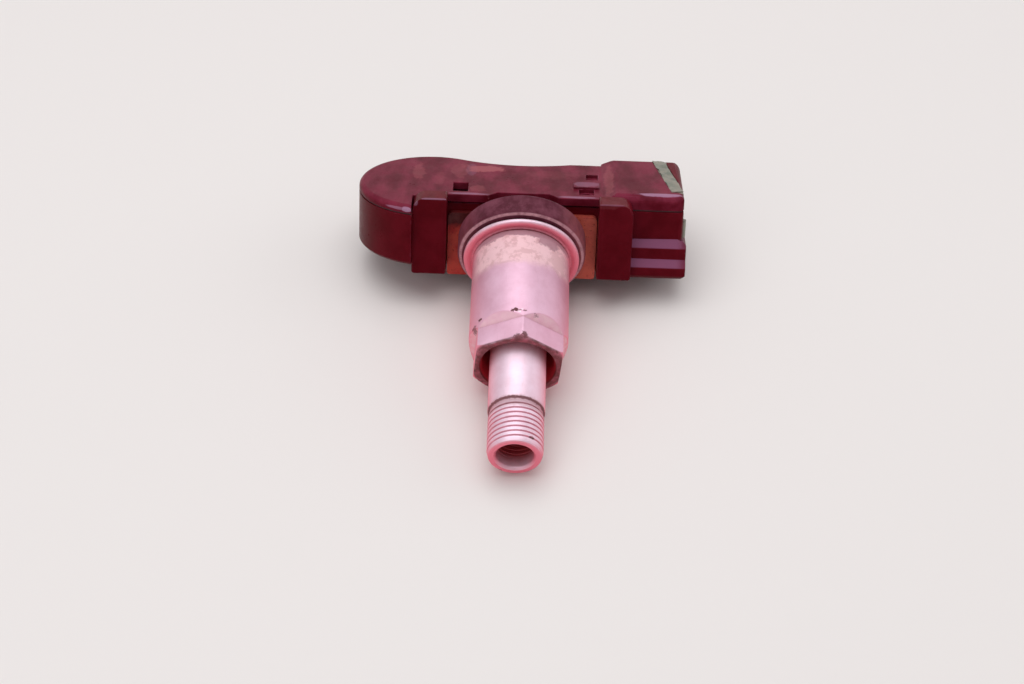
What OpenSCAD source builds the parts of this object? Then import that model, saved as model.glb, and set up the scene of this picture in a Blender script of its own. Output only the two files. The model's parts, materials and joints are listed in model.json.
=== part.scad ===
// Tyre pressure sensor: a flat plastic housing with a clamp-in metal valve stem.
// Housing parts are drawn in the housing's own frame: X along the housing, Y to its back,
// Z out of the cover. The valve parts are drawn along +Z, outwards from the rim seat.
// Both meet where the valve's axis crosses the washer's seat face. The finished sensor
// then lies as it rests on a table, on the nut's lower corner and the housing's back edge.

/* [Housing] */
// Height of the cover's top face above the valve axis at the seat
case_top = 7; // [6.6:0.1:8]
// Depth of the housing's floor below the valve axis at the seat
case_depth = 4.3; // [4:0.1:5]
// Back face of the housing behind the seat
case_rear = 21.2; // [20.8:0.1:22]
// Right face of the housing from the valve axis
case_right = 23.6; // [23:0.1:27]
// Wall thickness of the housing
wall = 1.2; // [1:0.05:1.25]
// Floor thickness of the housing
floor_t = 1.4; // [1:0.1:1.6]
// Thickness of the cover plate
cover_t = 1.2; // [0.9:0.1:1.4]
// Radius of the round battery lobe
lobe_r = 11; // [10.8:0.1:12]
// Centre of the lobe to the left of the valve axis
lobe_x = 13.4; // [12.8:0.1:14]
// How far the lobe stands out behind the housing's back face
lobe_bulge = 1.5; // [1.2:0.1:2]
// Depth of the lobe's underside below the valve axis at the seat
lobe_depth = 2.3; // [1.8:0.1:2.8]
// Depth of the waist that is scooped out of the back between lobe and block
waist_step = 1.1; // [0.8:0.1:1.3]
// Radius of the scooped waist
waist_blend = 24; // [20:1:28]
// Rounding of the cover's top rim
rim_round = 0.8; // [0.3:0.1:1]
// Rounding of the block's front top edge
front_round = 1.1; // [0.6:0.1:1.4]
// Rounding of the floor's back edge
floor_round = 0.8; // [0.4:0.1:1.2]

/* [Raised block] */
// Rise of the block above the cover's top face
block_rise = 1; // [0.6:0.1:1.5]
// Left edge of the ramp up to the block
ramp_x = 11.7; // [11.4:0.1:12.5]
// Width of the ramp
ramp_w = 1.9; // [1.2:0.1:2.4]
// Front face of the block behind the seat
block_front = 5.8; // [5.6:0.1:6]
// Rounding of the block's back right corner
corner_r = 2.5; // [1.5:0.1:3.5]
// Width of the base's own strip beyond the sealed groove, at the back
strip_w = 2.3; // [2:0.1:3.2]
// Turn of the sealed groove from the housing's depth
groove_turn = 10; // [8:0.5:14]
// Front end of the base's own strip, from the block's front face
strip_front = 3; // [2.4:0.1:4]
// Width of the sealed groove
groove_w = 1.9; // [1:0.1:2.2]
// Size of each sloped shoulder below the block's front face
shoulder = 1; // [0.6:0.1:1.2]
// Height of the upper shoulder above the valve axis
shoulder_z = 1.3; // [1:0.1:1.8]
// Drop from the upper shoulder to the lower one
shoulder_drop = 2.7; // [2.4:0.1:2.9]
// Reach of the lower right side beyond the upper one
side_reach = 0.6; // [0.3:0.1:0.9]

/* [Ears] */
// Clear width between the two ears
ear_gap = 22.1; // [21.6:0.1:22.4]
// Width of each ear
ear_w = 5; // [4.6:0.1:5.4]
// Front face of the ears behind the seat
ear_front = 2.1; // [1.8:0.1:2.4]
// Depth of each ear from front to back
ear_t = 3.4; // [3.2:0.05:3.5]
// Height of the ears above the valve axis
ear_top = 7.9; // [7.4:0.1:9]
// Depth of the ears below the valve axis
ear_depth = 3.9; // [3.4:0.1:4.3]
// Rounding of each ear's outer top corner
ear_round = 2; // [1:0.1:2.5]

/* [Front of the cover] */
// Front edge of the cover behind the seat
lip_front = 6.5; // [6.4:0.05:6.6]
// Overhang of the cover's edge over the front wall
lip_reach = 0.3; // [0.1:0.05:0.35]
// Thickness of the front wall
front_wall = 1; // [0.8:0.05:1.05]
// Width of the shallow notch in the cover's front edge
notch_w = 10.4; // [9:0.1:12]
// Depth of the notch
notch_deep = 1.4; // [0.6:0.1:1.5]
// Width of the latch window and of the air inlet pocket
window_w = 2.2; // [2:0.1:3]
// Length of the latch window
window_len = 3.4; // [3:0.1:4]
// Centre of the latch window and the air inlet, from the valve axis
window_x = 9.3; // [8.8:0.1:9.4]
// Front end of the latch window and of the air inlet pocket
window_front = 8.1; // [8:0.1:8.6]
// Depth from front to back of the bar behind the air inlet
rail_w = 2.1; // [1.4:0.1:2.4]
// Diameter of the air inlet hole
inlet_d = 1.4; // [0.8:0.1:1.6]

/* [Valve] */
// Angle between the valve axis and the cover
valve_angle = 24.6; // [24:0.1:26]
// Length of the valve from the seat to its tip
stem_out = 36.4; // [33:0.1:40]
// Outside diameter of the cap thread
cap_thread_d = 7.7; // [7.5:0.1:7.7]
// Length of the cap thread
cap_thread_len = 6.8; // [5.5:0.1:8]
// Diameter of the smooth stem
stem_d = 7.9; // [7.8:0.1:8.4]
// Outside diameter of the clamping thread
clamp_thread_d = 9.8; // [9.4:0.1:10]
// Length of the clamping thread
clamp_thread_len = 12; // [10:0.1:14]
// Bore diameter of the valve core's chamber
core_bore_d = 5.1; // [4.8:0.1:5.3]
// Length of the valve core's chamber
core_bore_len = 6.5; // [5:0.1:9]
// Diameter of the air bore through the stem
air_bore_d = 3; // [2.4:0.1:3.4]
// Diameter of the stem's spigot in the housing
spigot_d = 6.5; // [6:0.1:7]

/* [Nut and washer] */
// Length of the collar nut
nut_len = 19.9; // [16:0.1:22]
// Outside diameter of the collar nut
nut_d = 14; // [13.6:0.1:14.4]
// Width across the nut's six flats
nut_flats = 12; // [11.8:0.1:12.1]
// Length of the nut's flats
flat_len = 3.5; // [3:0.1:5]
// Length of the sloped end of each flat
flat_runout = 1.2; // [0.8:0.1:1.6]
// Turn of the hexagon about the valve axis at rest
hex_turn = 4.3; // [0:0.1:10]
// Diameter of the nut's open mouth
nut_mouth_d = 10.8; // [10.4:0.1:11]
// Radial clearance of the nut's thread on the stem
thread_fit = 0.06; // [0.04:0.01:0.09]
// Diameter of the seat washer
washer_d = 16.8; // [16:0.1:18]
// Thickness of the seat washer
washer_t = 0.75; // [0.6:0.05:1.2]

/* [Grommet and stem fixing] */
// Diameter of the rubber grommet
grommet_d = 18.6; // [17.6:0.1:18.8]
// Length of the rubber grommet
grommet_len = 3.5; // [3.2:0.05:3.5]
// Gap between the grommet and the seat washer
grommet_gap = 0.3; // [0.2:0.05:0.4]
// Diameter of the round boss that carries the grommet
boss_d = 12; // [11.4:0.1:12.4]
// Thickness of the boss where the stem's screw clamps it
boss_web = 2; // [1.6:0.1:2.2]
// Thickness of the seat plate
plate_t = 1; // [0.8:0.05:1.05]
// Height of the seat plate above the valve axis
plate_top = 4.4; // [3:0.1:5]
// Reach of the seat plate below the housing's floor
plate_drop = 1.1; // [0:0.1:1.5]
// Diameter of the stem screw's head
screw_head_d = 6.2; // [5.6:0.1:6.4]
// Height of the stem screw's head
screw_head_h = 1.6; // [1.4:0.1:1.8]
// Diameter of the stem screw's thread
screw_d = 4.2; // [4:0.1:4.6]
// Thickness of the lock washer under the screw's head
lock_washer_t = 0.6; // [0.4:0.1:0.7]

/* [Electronics] */
// Diameter of the coin cell
cell_d = 12.5; // [11.6:0.1:12.5]
// Thickness of the coin cell
cell_t = 2.5; // [2:0.1:3.2]
// Thickness of the circuit board
board_t = 0.8; // [0.6:0.1:1]
// Side of the pressure sensor package
sensor_side = 5.6; // [5:0.1:5.8]
// Height of the pressure sensor package
sensor_h = 2.4; // [2:0.1:2.8]
// Side of the transmitter chip
chip_side = 5; // [4:0.1:5.4]
// Height of the transmitter chip
chip_h = 1; // [0.8:0.1:1.4]
// Length of the pick-up coil's ferrite core
coil_len = 8; // [7:0.1:8.4]
// Width and height of the ferrite core's end blocks
coil_h = 2.8; // [2.4:0.1:3]
// Height of the loop antenna above the board
loop_h = 3.8; // [3:0.1:4.2]

/* [Hidden] */
$fn = 96;

cut = 1; // how far a cutting shape runs past the face it opens
far = 60; // larger than the whole sensor
fit = 0.1; // clearance between housing parts that slot together
bead_t = 0.2; // thickness of the sealant between cover and base

// Housing levels and edges
cover_z = case_top - cover_t;
rim_z = cover_z - bead_t;
floor_z = floor_t - case_depth;
lobe_floor_z = floor_t - lobe_depth;
block_z = case_top + block_rise;
block_x = ramp_x + ramp_w;
ear_in = ear_gap / 2;
ear_out = ear_in + ear_w;
ear_back = ear_front + ear_t;
base_front = lip_front + lip_reach;
inner_front = base_front + front_wall;
side_x = case_right + side_reach;
waist_rear = case_rear - waist_step;
lobe_back = case_rear + lobe_bulge;
lobe_y = lobe_back - lobe_r;
// Centre of the circle that scoops out the waist, which also cuts a hair into the lobe
blend_cross = 0.02;
blend_y = waist_rear + waist_blend;
blend_x = sqrt(pow(lobe_r + waist_blend - blend_cross, 2) - pow(blend_y - lobe_y, 2)) - lobe_x;

// Valve levels, outwards from the seat face
grommet_z = -grommet_gap - grommet_len;
web_z = grommet_z - boss_web;
head_z = web_z - lock_washer_t;
head_end_z = head_z - screw_head_h;
pocket_r = screw_head_d / 2 + 0.9;
pocket_z = head_end_z - 1;
clamp_end = washer_t + clamp_thread_len;
nut_end = washer_t + nut_len;
hex_r = nut_flats / 2 / cos(30);
nut_chamfer = 0.55;
nut_chamfer_in = 0.95;
tip_chamfer = 0.8;
tip_chamfer_in = 0.25;
relief_len = 0.7;
relief_deep = 0.4;
screw_reach = 6;
screw_hole_d = 1.6;
core_seat_len = 1.6;
pocket_back = base_front + 3.6;
ledge = groove_w + wall / 2; // how far the base reaches in under the groove
ledge_t = 1.2; // thickness of that ledge

// Where the nut's lower corner meets the table, in the housing's frame
touch_v = nut_end - nut_chamfer * (nut_chamfer_in - nut_d / 2 + hex_r) / nut_chamfer_in;
touch_r = hex_r * cos(hex_turn);
touch_y = touch_r * sin(valve_angle) - touch_v * cos(valve_angle);
touch_z = -touch_r * cos(valve_angle) - touch_v * sin(valve_angle);
// The table is tangent to the rounded back edge of the floor and passes that corner
round_y = case_rear - floor_round - touch_y;
round_z = floor_round - case_depth - touch_z;
rest_tilt = atan2(round_z, round_y) - asin(floor_round / norm([round_y, round_z]));
table_z = touch_z * cos(rest_tilt) - touch_y * sin(rest_tilt);
// Middle of the resting sensor
stem_slope = valve_angle - rest_tilt;
tip_y = -stem_out * cos(stem_slope) - (cap_thread_d / 2 - tip_chamfer_in) * sin(stem_slope);
back_y = rim_round + max([for (p = [[case_rear, block_z], [lobe_back, case_top]])
    (p[0] - rim_round) * cos(rest_tilt) + (p[1] - rim_round) * sin(rest_tilt)]);
mid_x = (side_x - lobe_x - lobe_r) / 2;
mid_y = (tip_y + back_y) / 2;

// Electronics levels
board_top = lobe_floor_z;
board_z = board_top - board_t;
board_gap = 0.3; // between the board's edge and the walls
board_left = cell_d / 2 - lobe_x + 0.5;
board_front = inner_front + board_gap;
board_right = case_right - wall - board_gap;
board_back = waist_rear - wall - board_gap;
cell_x = -lobe_x;
cell_y = inner_front + fit + cell_d / 2;
tab_t = 0.15; // thickness of the cell's tabs, and of the pad beside the lower one
cell_z = lobe_floor_z + tab_t;
sensor_x = window_x;
sensor_y = board_front + 0.2 + sensor_side / 2;
inlet_y = window_front + window_w / 2;
rail_y = window_front + window_w + 0.1;
chip_x = block_x + 0.4 + chip_side / 2;
chip_y = block_front + wall + 3.3 + chip_side / 2;
crystal_x = chip_x + chip_side / 2 + 1.55;
crystal_y = chip_y - 1.8;
coil_y = board_back - 0.5 - coil_h / 2;
coil_x = board_left + 0.8 + coil_len / 2;
coil_end_t = 1.1;
coil_neck = 0.7;

// Puts housing parts down on the table
module rest() {
    translate([-mid_x, -mid_y, -table_z]) rotate([-rest_tilt, 0, 0]) children();
}

// Puts valve parts on the valve's axis and then down on the table
module on_axis() {
    rest() rotate([90 + valve_angle, 0, 0]) children();
}

// A shape drawn in the side view, Y to the right and Z up, drawn out along X
module along_x(x0, x1) {
    translate([x0, 0, 0]) rotate([90, 0, 90]) linear_extrude(x1 - x0) children();
}

// A shape drawn in the front view, X to the right and Z up, drawn out along Y
module along_y(y0, y1) {
    translate([0, y1, 0]) rotate([90, 0, 0]) linear_extrude(y1 - y0) children();
}

module slab(x0, x1, y0, y1, z0, z1) {
    translate([x0, y0, z0]) cube([x1 - x0, y1 - y0, z1 - z0]);
}

// A rectangle from one corner to the other whose corners are rounded where their radius isn't 0
module rounded(x0, y0, x1, y1, r00, r10, r11, r01) {
    corners = [[x0, y0, 1, 1, r00], [x1, y0, -1, 1, r10], [x1, y1, -1, -1, r11], [x0, y1, 1, -1, r01]];
    difference() {
        translate([x0, y0]) square([x1 - x0, y1 - y0]);
        for (c = corners) if (c[4] > 0) translate([c[0], c[1]]) scale([c[2], c[3]]) spandrel(c[4]);
    }
}

// The sharp corner outside a rounding of radius r at the origin
module spandrel(r) {
    difference() {
        translate([-cut, -cut]) square([r + cut, r + cut]);
        translate([r, r]) circle(r);
    }
}

// The lobe's round body, with its edges rounded or bevelled
module lobe_disc(r, z0, z1, bevel, rim) {
    translate([-lobe_x, lobe_y, 0]) rotate_extrude() difference() {
        polygon([[0, z0], [r - bevel, z0], [r, z0 + bevel], [r, z1], [0, z1]]);
        if (rim > 0) translate([r, z1]) mirror([1, 0]) mirror([0, 1]) spandrel(rim);
    }
}

// The stretch from the lobe's centre to the middle of the waist, still without the scoop
module waist_left(z0, z1) {
    share = lobe_r / (lobe_r + waist_blend);
    tangent = [(blend_x + lobe_x) * share - lobe_x, (blend_y - lobe_y) * share + lobe_y];
    translate([0, 0, z0]) linear_extrude(z1 - z0)
        polygon([tangent, [blend_x, tangent[1]], [blend_x, lobe_y], [-lobe_x, lobe_y]]);
}

// What the large circle scoops out of the back, down to z0 and with a rounded rim at z1
module waist_scoop(z0, z1, rim) {
    translate([blend_x, blend_y, 0]) rotate_extrude() {
        translate([0, z0 - cut]) square([waist_blend, z1 - z0 + 2 * cut]);
        if (rim > 0) translate([waist_blend, z1]) mirror([0, 1]) spandrel(rim);
    }
}

// The block's outline seen from above, set in by i all round
module block_plan(i) {
    rounded(ear_in, block_front + i, case_right - i, case_rear - i, 0, rim_round, corner_r - i, 0);
}

// Everything to the right of the sealed groove's outer edge, widened by d
module corner_side(d) {
    intersection() {
        translate([case_right - strip_w, case_rear]) rotate(groove_turn)
            translate([-d, -far]) square([far, 2 * far]);
        translate([0, block_front + strip_front - d / 2]) square([2 * far, 2 * far]);
    }
}

// The base without its hollows
module base_body() {
    difference() {
        lobe_disc(lobe_r, -lobe_depth, rim_z, 0.5, 0);
        slab(-ear_out, far, -far, ear_front, -far, far);
        slab(-ear_in, far, -far, base_front, -far, far);
    }
    difference() {
        union() {
            waist_left(-lobe_depth, rim_z);
            along_x(-ear_in, ear_in) rounded(base_front, -case_depth, case_rear, rim_z, 0, floor_round, 0, 0);
        }
        waist_scoop(-case_depth, rim_z, 0);
    }
    intersection() {
        translate([0, 0, -case_depth]) linear_extrude(rim_z + case_depth) block_plan(0);
        along_x(ear_in, side_x) rounded(block_front, -case_depth, case_rear, rim_z, 0.3, floor_round, 0, 0);
    }
    block_foot();
    for (side = [-1, 1]) ear(side);
    intersection() {
        rotate([90 + valve_angle, 0, 0]) translate([0, 0, -far / 4]) cylinder(d = boss_d, h = far / 4 + grommet_z);
        slab(-ear_in, ear_in, -far, inner_front, -case_depth, rim_z);
    }
    corner_post();
}

// The stepped lower front and right side of the block
module block_foot() {
    low_z = shoulder_z - shoulder_drop;
    step_1 = block_front - shoulder;
    step_2 = step_1 - shoulder;
    toe = 0.6;
    intersection() {
        along_x(ear_out, side_x) polygon([[step_1, shoulder_z - shoulder], [block_front, shoulder_z],
            [case_rear - corner_r, shoulder_z], [case_rear - corner_r, -case_depth], [step_2 + toe, -case_depth],
            [step_2, toe - case_depth], [step_2, low_z - shoulder], [step_1, low_z]]);
        along_y(-far, far) polygon([[ear_in, shoulder_z], [case_right, shoulder_z],
            [side_x, shoulder_z - side_reach], [side_x, toe - case_depth], [side_x - toe, -case_depth],
            [ear_in, -case_depth]]);
    }
}

// One of the two upright ears beside the stem, with the foot that ties it to the base
module ear(side) {
    scale([side, 1, 1]) {
        along_y(ear_front, ear_back) rounded(ear_in, -ear_depth, ear_out, ear_top, 0.3, 0.4, ear_round, 0.3);
        along_y(ear_back - cut, inner_front + cut)
            rounded(ear_in, -ear_depth, ear_out, lobe_floor_z, 0.3, 0.4, 0, 0);
    }
}

// The corner of the base that stands up beyond the sealed groove
module corner_post() {
    intersection() {
        translate([0, 0, floor_z]) linear_extrude(block_z - floor_z) block_plan(0);
        translate([0, 0, -far]) linear_extrude(2 * far) corner_side(0);
        along_x(ear_in, side_x) rounded(0, -case_depth, case_rear, block_z, 0, 0, rim_round, 0);
        along_y(block_front, case_rear) rounded(ear_in, -case_depth, case_right, block_z, 0, 0, rim_round, 0);
    }
}

// The hollows of the base: the cell's bay and the board's bay
module base_hollow() {
    difference() {
        lobe_disc(lobe_r - wall, lobe_floor_z, rim_z + cut, 0, 0);
        slab(-ear_out - wall, far, -far, ear_front + wall, -far, far);
        slab(-ear_in - wall, far, -far, inner_front, -far, far);
    }
    bay(lobe_floor_z, -lobe_x);
    bay(floor_z, wall - ear_in);
}

// The board's bay from z0 up, open to the left as far as left_x
module bay(z0, left_x) {
    ledge_z = rim_z - ledge_t;
    translate([0, 0, z0]) linear_extrude(ledge_z - z0) bay_plan(0, left_x);
    translate([0, 0, z0]) linear_extrude(rim_z + cut - z0) difference() {
        bay_plan(0, left_x);
        corner_side(ledge);
    }
}

// The bay's outline seen from above, set in by i all round
module bay_plan(i, left_x) {
    difference() {
        union() {
            translate([left_x + i, inner_front + i])
                square([case_right - wall - left_x - 2 * i, waist_rear - wall - inner_front - 2 * i]);
            translate([ear_in + wall + i, block_front + wall + i])
                square([case_right - ear_in - 2 * (wall + i), waist_rear - block_front - 2 * (wall + i)]);
        }
        translate([-pocket_r - wall - i, 0]) square([2 * (pocket_r + wall + i), pocket_back + wall + i]);
    }
}

// Pocket round the stem screw's head, open at the top behind the grommet
module screw_pocket() {
    intersection() {
        rotate([90 + valve_angle, 0, 0]) union() {
            translate([0, 0, pocket_z]) cylinder(r = pocket_r, h = web_z - pocket_z);
            translate([-pocket_r, 0, pocket_z]) cube([2 * pocket_r, far / 4, web_z - pocket_z]);
        }
        slab(-far, far, -far, pocket_back, -case_depth + floor_t, far);
    }
}

// Latch that the cover's window snaps over
module latch_post() {
    x0 = 0.3 - window_x - window_w / 2;
    x1 = window_w / 2 - window_x - 0.3;
    slab(x0, x1, inner_front - 0.2, window_front + 0.9, rim_z - 2, rim_z);
    slab(x0, x1, window_front + fit, window_front + 0.9, rim_z - 1, case_top - 0.6);
}

module housing_base() {
    color([0.27, 0.11, 0.14]) rest() {
        difference() {
            base_body();
            base_hollow();
            screw_pocket();
            rotate([90 + valve_angle, 0, 0]) translate([0, 0, web_z - cut])
                cylinder(d = spigot_d, h = boss_web + 2 * cut);
        }
        latch_post();
    }
}

// The cover's plate without its openings
module cover_plate() {
    difference() {
        union() {
            lobe_disc(lobe_r, cover_z, case_top, 0, rim_round);
            difference() {
                union() {
                    waist_left(cover_z, case_top);
                    along_x(-lobe_x, block_x) rounded(lip_front, cover_z, case_rear, case_top, 0, 0, rim_round, 0);
                }
                waist_scoop(cover_z, case_top, rim_round);
            }
        }
        slab(-ear_out - fit, far, -far, ear_back + fit, -far, far);
        slab(-ear_in - fit, far, -far, lip_front, -far, far);
    }
}

// The raised block of the cover with its ramp
module cover_block() {
    intersection() {
        translate([0, 0, cover_z]) linear_extrude(block_z - cover_z) block_plan(0);
        along_x(ramp_x, case_right) rounded(block_front, cover_z, case_rear, block_z, 0, 0, rim_round, front_round);
        along_y(block_front, case_rear) difference() {
            polygon([[ramp_x, cover_z], [case_right, cover_z], [case_right, block_z], [block_x, block_z],
                [ramp_x, case_top]]);
            translate([case_right, block_z]) scale([-1, -1]) spandrel(rim_round);
        }
    }
}

// Short walls under the cover that locate it in the base
module cover_ribs() {
    rib = 0.8;
    rib_h = 1;
    back = waist_rear - wall - fit;
    for (x = [ramp_x - 10, ramp_x - 4, ramp_x + 2]) slab(x, x + 3, back - rib, back, cover_z - rib_h, cover_z);
    front = inner_front + fit;
    slab(ear_in - rib / 2, ear_in + 1, front, front + rib, cover_z - rib_h, cover_z);
}

module housing_cover() {
    color([0.30, 0.12, 0.15]) rest() difference() {
        union() {
            cover_plate();
            cover_block();
            cover_ribs();
            cover_rail();
        }
        front_notch();
        latch_window();
        air_inlet();
        translate([0, 0, -far]) linear_extrude(2 * far) corner_side(groove_w);
        slab(ear_in - fit, ear_out + fit, -far, ear_back + fit, -far, far);
    }
}

module front_notch() {
    half = notch_w / 2;
    translate([0, 0, cover_z - cut]) linear_extrude(far) polygon([[-half, lip_front - cut],
        [half, lip_front - cut], [half, lip_front], [half - notch_deep, lip_front + notch_deep],
        [notch_deep - half, lip_front + notch_deep], [-half, lip_front]]);
}

module latch_window() {
    slab(-window_x - window_w / 2, -window_x + window_w / 2, window_front, window_front + window_len,
        cover_z - cut, case_top + cut);
}

// A small well with a hole that leads down to the pressure sensor, and a blind one behind the bar
module air_inlet() {
    well = 0.5;
    back_well = rail_y + rail_w + 1.8;
    slab(window_x - window_w / 2, window_x + window_w / 2, window_front, window_front + window_w,
        case_top - well, case_top + cut);
    slab(window_x, window_x + window_w - 0.4, back_well, back_well + window_w, case_top - well, case_top + cut);
    translate([window_x, inlet_y, cover_z - cut]) cylinder(d = inlet_d, h = cover_t + 2 * cut);
    translate([window_x, inlet_y, cover_z - cut]) cylinder(d = inlet_d + 0.8, h = cut + 0.3);
}

// The low bar on the cover behind the air inlet
module cover_rail() {
    slab(window_x - 1.9, window_x + 1.9, rail_y, rail_y + rail_w, case_top - 0.3, case_top + 0.35);
}

// The sealant: a thin layer under the cover, the filled groove and a bead on the side
module seal_bead() {
    half = (wall - 0.4) / 2;
    mid = wall / 2;
    color([0.55, 0.60, 0.45]) rest() {
        difference() {
            union() {
                lobe_disc(lobe_r - mid + half, rim_z, cover_z, 0, 0);
                slab(-lobe_x, block_x, lobe_y, waist_rear - mid + half, rim_z, cover_z);
                translate([0, 0, rim_z]) linear_extrude(bead_t) block_plan(mid - half);
            }
            lobe_disc(lobe_r - mid - half, rim_z - cut, cover_z + cut, 0, 0);
            slab(-lobe_x, block_x + cut, lobe_y - cut, waist_rear - mid - half, rim_z - cut, cover_z + cut);
            slab(-ear_out - fit, ear_out + fit, -far, ear_back + 0.6, -far, far);
            slab(-ear_out - fit, ear_in + wall, -far, inner_front + 1, -far, far);
            slab(block_x, case_right - mid - half, block_front + mid + half, waist_rear - mid - half,
                rim_z - cut, cover_z + cut);
            slab(ear_in - cut, block_x + cut, block_front - cut, waist_rear - mid - half,
                rim_z - cut, cover_z + cut);
            translate([0, 0, -far]) linear_extrude(2 * far) corner_side(groove_w + fit);
        }
        groove_fill();
        side_bead();
    }
}

module groove_fill() {
    intersection() {
        translate([0, 0, rim_z]) linear_extrude(block_z - 0.15 - rim_z) block_plan(0.15);
        translate([0, 0, -far]) linear_extrude(2 * far) difference() {
            corner_side(groove_w);
            corner_side(0);
        }
    }
}

module side_bead() {
    bead_h = 2.6;
    bead_r = 0.5;
    intersection() {
        translate([case_right, block_front + 1.6, shoulder_z]) cylinder(r = bead_r, h = bead_h);
        slab(case_right, side_x, block_front, far, shoulder_z, shoulder_z + bead_h);
    }
}

// Upright steel plate against the front wall, between the ears
module seat_plate() {
    color([0.59, 0.30, 0.19]) rest() difference() {
        along_y(base_front - plate_t, base_front)
            rounded(fit - ear_in, -case_depth - plate_drop, ear_in - fit, plate_top, 0.4, 0.4, 0.8, 0.8);
        rotate([90 + valve_angle, 0, 0]) {
            translate([0, 0, -far / 4]) cylinder(d = boss_d + 2 * fit, h = far / 2);
            translate([0, 0, grommet_z - fit]) cylinder(d = grommet_d + 2 * fit, h = far / 2);
        }
        slab(-boss_d / 2, boss_d / 2, -far, far, 0, far);
    }
}

// The turned valve stem with its air passage
module valve_stem() {
    tip_r = cap_thread_d / 2;
    stem_r = stem_d / 2;
    thread_z = stem_out - cap_thread_len;
    bore_r = core_bore_d / 2;
    air_r = air_bore_d / 2;
    chamber_z = stem_out - core_bore_len;
    screw_z = grommet_z + screw_reach;
    color([0.85, 0.76, 0.78]) on_axis() difference() {
        rotate_extrude() polygon([[0, web_z], [spigot_d / 2, web_z], [spigot_d / 2, grommet_z],
            [stem_r, grommet_z], [stem_r, 0], [clamp_thread_d / 2, stem_r - clamp_thread_d / 2 + 1.2],
            [clamp_thread_d / 2, 1.2], [clamp_thread_d / 2, clamp_end - 0.5],
            [clamp_thread_d / 2 - 0.5, clamp_end], [stem_r, clamp_end], [stem_r, thread_z - relief_len - 0.2],
            [tip_r - relief_deep, thread_z - relief_len], [tip_r - relief_deep, thread_z], [tip_r, thread_z],
            [tip_r, stem_out - tip_chamfer], [tip_r - tip_chamfer_in, stem_out], [0, stem_out]]);
        rotate_extrude() polygon([[0, web_z - cut], [screw_d / 2, web_z - cut], [screw_d / 2, screw_z],
            [air_r, screw_z], [air_r, chamber_z - core_seat_len], [bore_r, chamber_z], [bore_r, stem_out - 0.3],
            [bore_r + 0.3, stem_out], [bore_r + 0.3, stem_out + cut], [0, stem_out + cut]]);
    }
}

// The hollow screw that holds the stem in the housing
module stem_screw() {
    key_deep = 1;
    color([0.62, 0.60, 0.60]) on_axis() difference() {
        union() {
            translate([0, 0, head_end_z]) cylinder(d = screw_head_d, h = screw_head_h);
            translate([0, 0, head_z]) cylinder(d = screw_d, h = grommet_z + screw_reach - 0.4 - head_z);
        }
        translate([0, 0, head_end_z - cut]) cylinder(d = screw_hole_d, h = far);
        translate([0, 0, head_end_z - cut]) cylinder(d = 2.9, h = key_deep + cut, $fn = 6);
    }
}

module lock_washer() {
    color([0.66, 0.64, 0.62]) on_axis() difference() {
        translate([0, 0, head_z]) cylinder(d = screw_head_d - 0.2, h = lock_washer_t);
        translate([0, 0, head_z - cut]) cylinder(d = screw_d + 2 * fit, h = far);
    }
}

// The rubber grommet that seals the rim's hole from inside
module grommet() {
    front = -grommet_gap;
    round_r = 0.7;
    color([0.40, 0.20, 0.24]) on_axis() difference() {
        rotate_extrude() difference() {
            translate([stem_d / 2, grommet_z]) square([(grommet_d - stem_d) / 2, grommet_len]);
            translate([grommet_d / 2, front]) scale([-1, -1]) spandrel(round_r);
            translate([grommet_d / 2, grommet_z]) mirror([1, 0]) spandrel(0.3);
        }
    }
}

// The washer that stays under the nut and doesn't turn with it
module seat_washer() {
    edge = 0.15;
    color([0.85, 0.74, 0.77]) on_axis() rotate_extrude() polygon([[clamp_thread_d / 2 + 0.3, 0],
        [washer_d / 2 - edge, 0], [washer_d / 2, edge], [washer_d / 2, washer_t - edge],
        [washer_d / 2 - edge, washer_t], [clamp_thread_d / 2 + 0.3, washer_t]]);
}

// The long collar nut: a hexagon at its outer end, a plain sleeve below
module collar_nut() {
    r = nut_d / 2;
    thread_r = clamp_thread_d / 2 + thread_fit;
    relief_r = thread_r + 0.2;
    foot = 1.6;
    land_end = clamp_end - 1;
    mouth_r = nut_mouth_d / 2;
    color([0.86, 0.74, 0.77]) on_axis() difference() {
        rotate_extrude() polygon([[thread_r, foot], [relief_r, foot - 0.3], [relief_r, washer_t],
            [r - 0.2, washer_t], [r, washer_t + 0.2], [r, nut_end - nut_chamfer], [r - nut_chamfer_in, nut_end],
            [mouth_r, nut_end], [mouth_r - 0.3, nut_end - 0.6], [mouth_r - 0.3, land_end + 0.4],
            [thread_r, land_end]]);
        for (k = [0:5]) rotate([0, 0, hex_turn + 60 * k]) hex_cut();
    }
}

// Takes one flat off the nut, ending in a slope
module hex_cut() {
    flat = nut_flats / 2;
    top = nut_end + cut;
    low = nut_end - flat_len;
    rise = nut_d / 2 - flat;
    rotate([90, 0, 0]) translate([0, 0, -nut_d / 2]) linear_extrude(nut_d)
        polygon([[flat, low], [flat + 2 * rise, low - 2 * flat_runout], [flat + far / 4, low - 2 * flat_runout],
            [flat + far / 4, top], [flat, top]]);
}

module coin_cell() {
    r = cell_d / 2;
    step = 0.5;
    color([0.75, 0.75, 0.76]) rest() translate([cell_x, cell_y, cell_z]) rotate_extrude()
        polygon([[0, 0], [r - 0.2, 0], [r, 0.2], [r, cell_t - step], [r - 0.9, cell_t - step / 2],
            [r - 0.9, cell_t], [0, cell_t]]);
}

// Felt disc between the cell and the lobe's floor
module cell_pad() {
    color([0.25, 0.25, 0.28]) rest() translate([cell_x, cell_y, lobe_floor_z])
        cylinder(d = cell_d - 2.6, h = tab_t);
}

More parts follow.
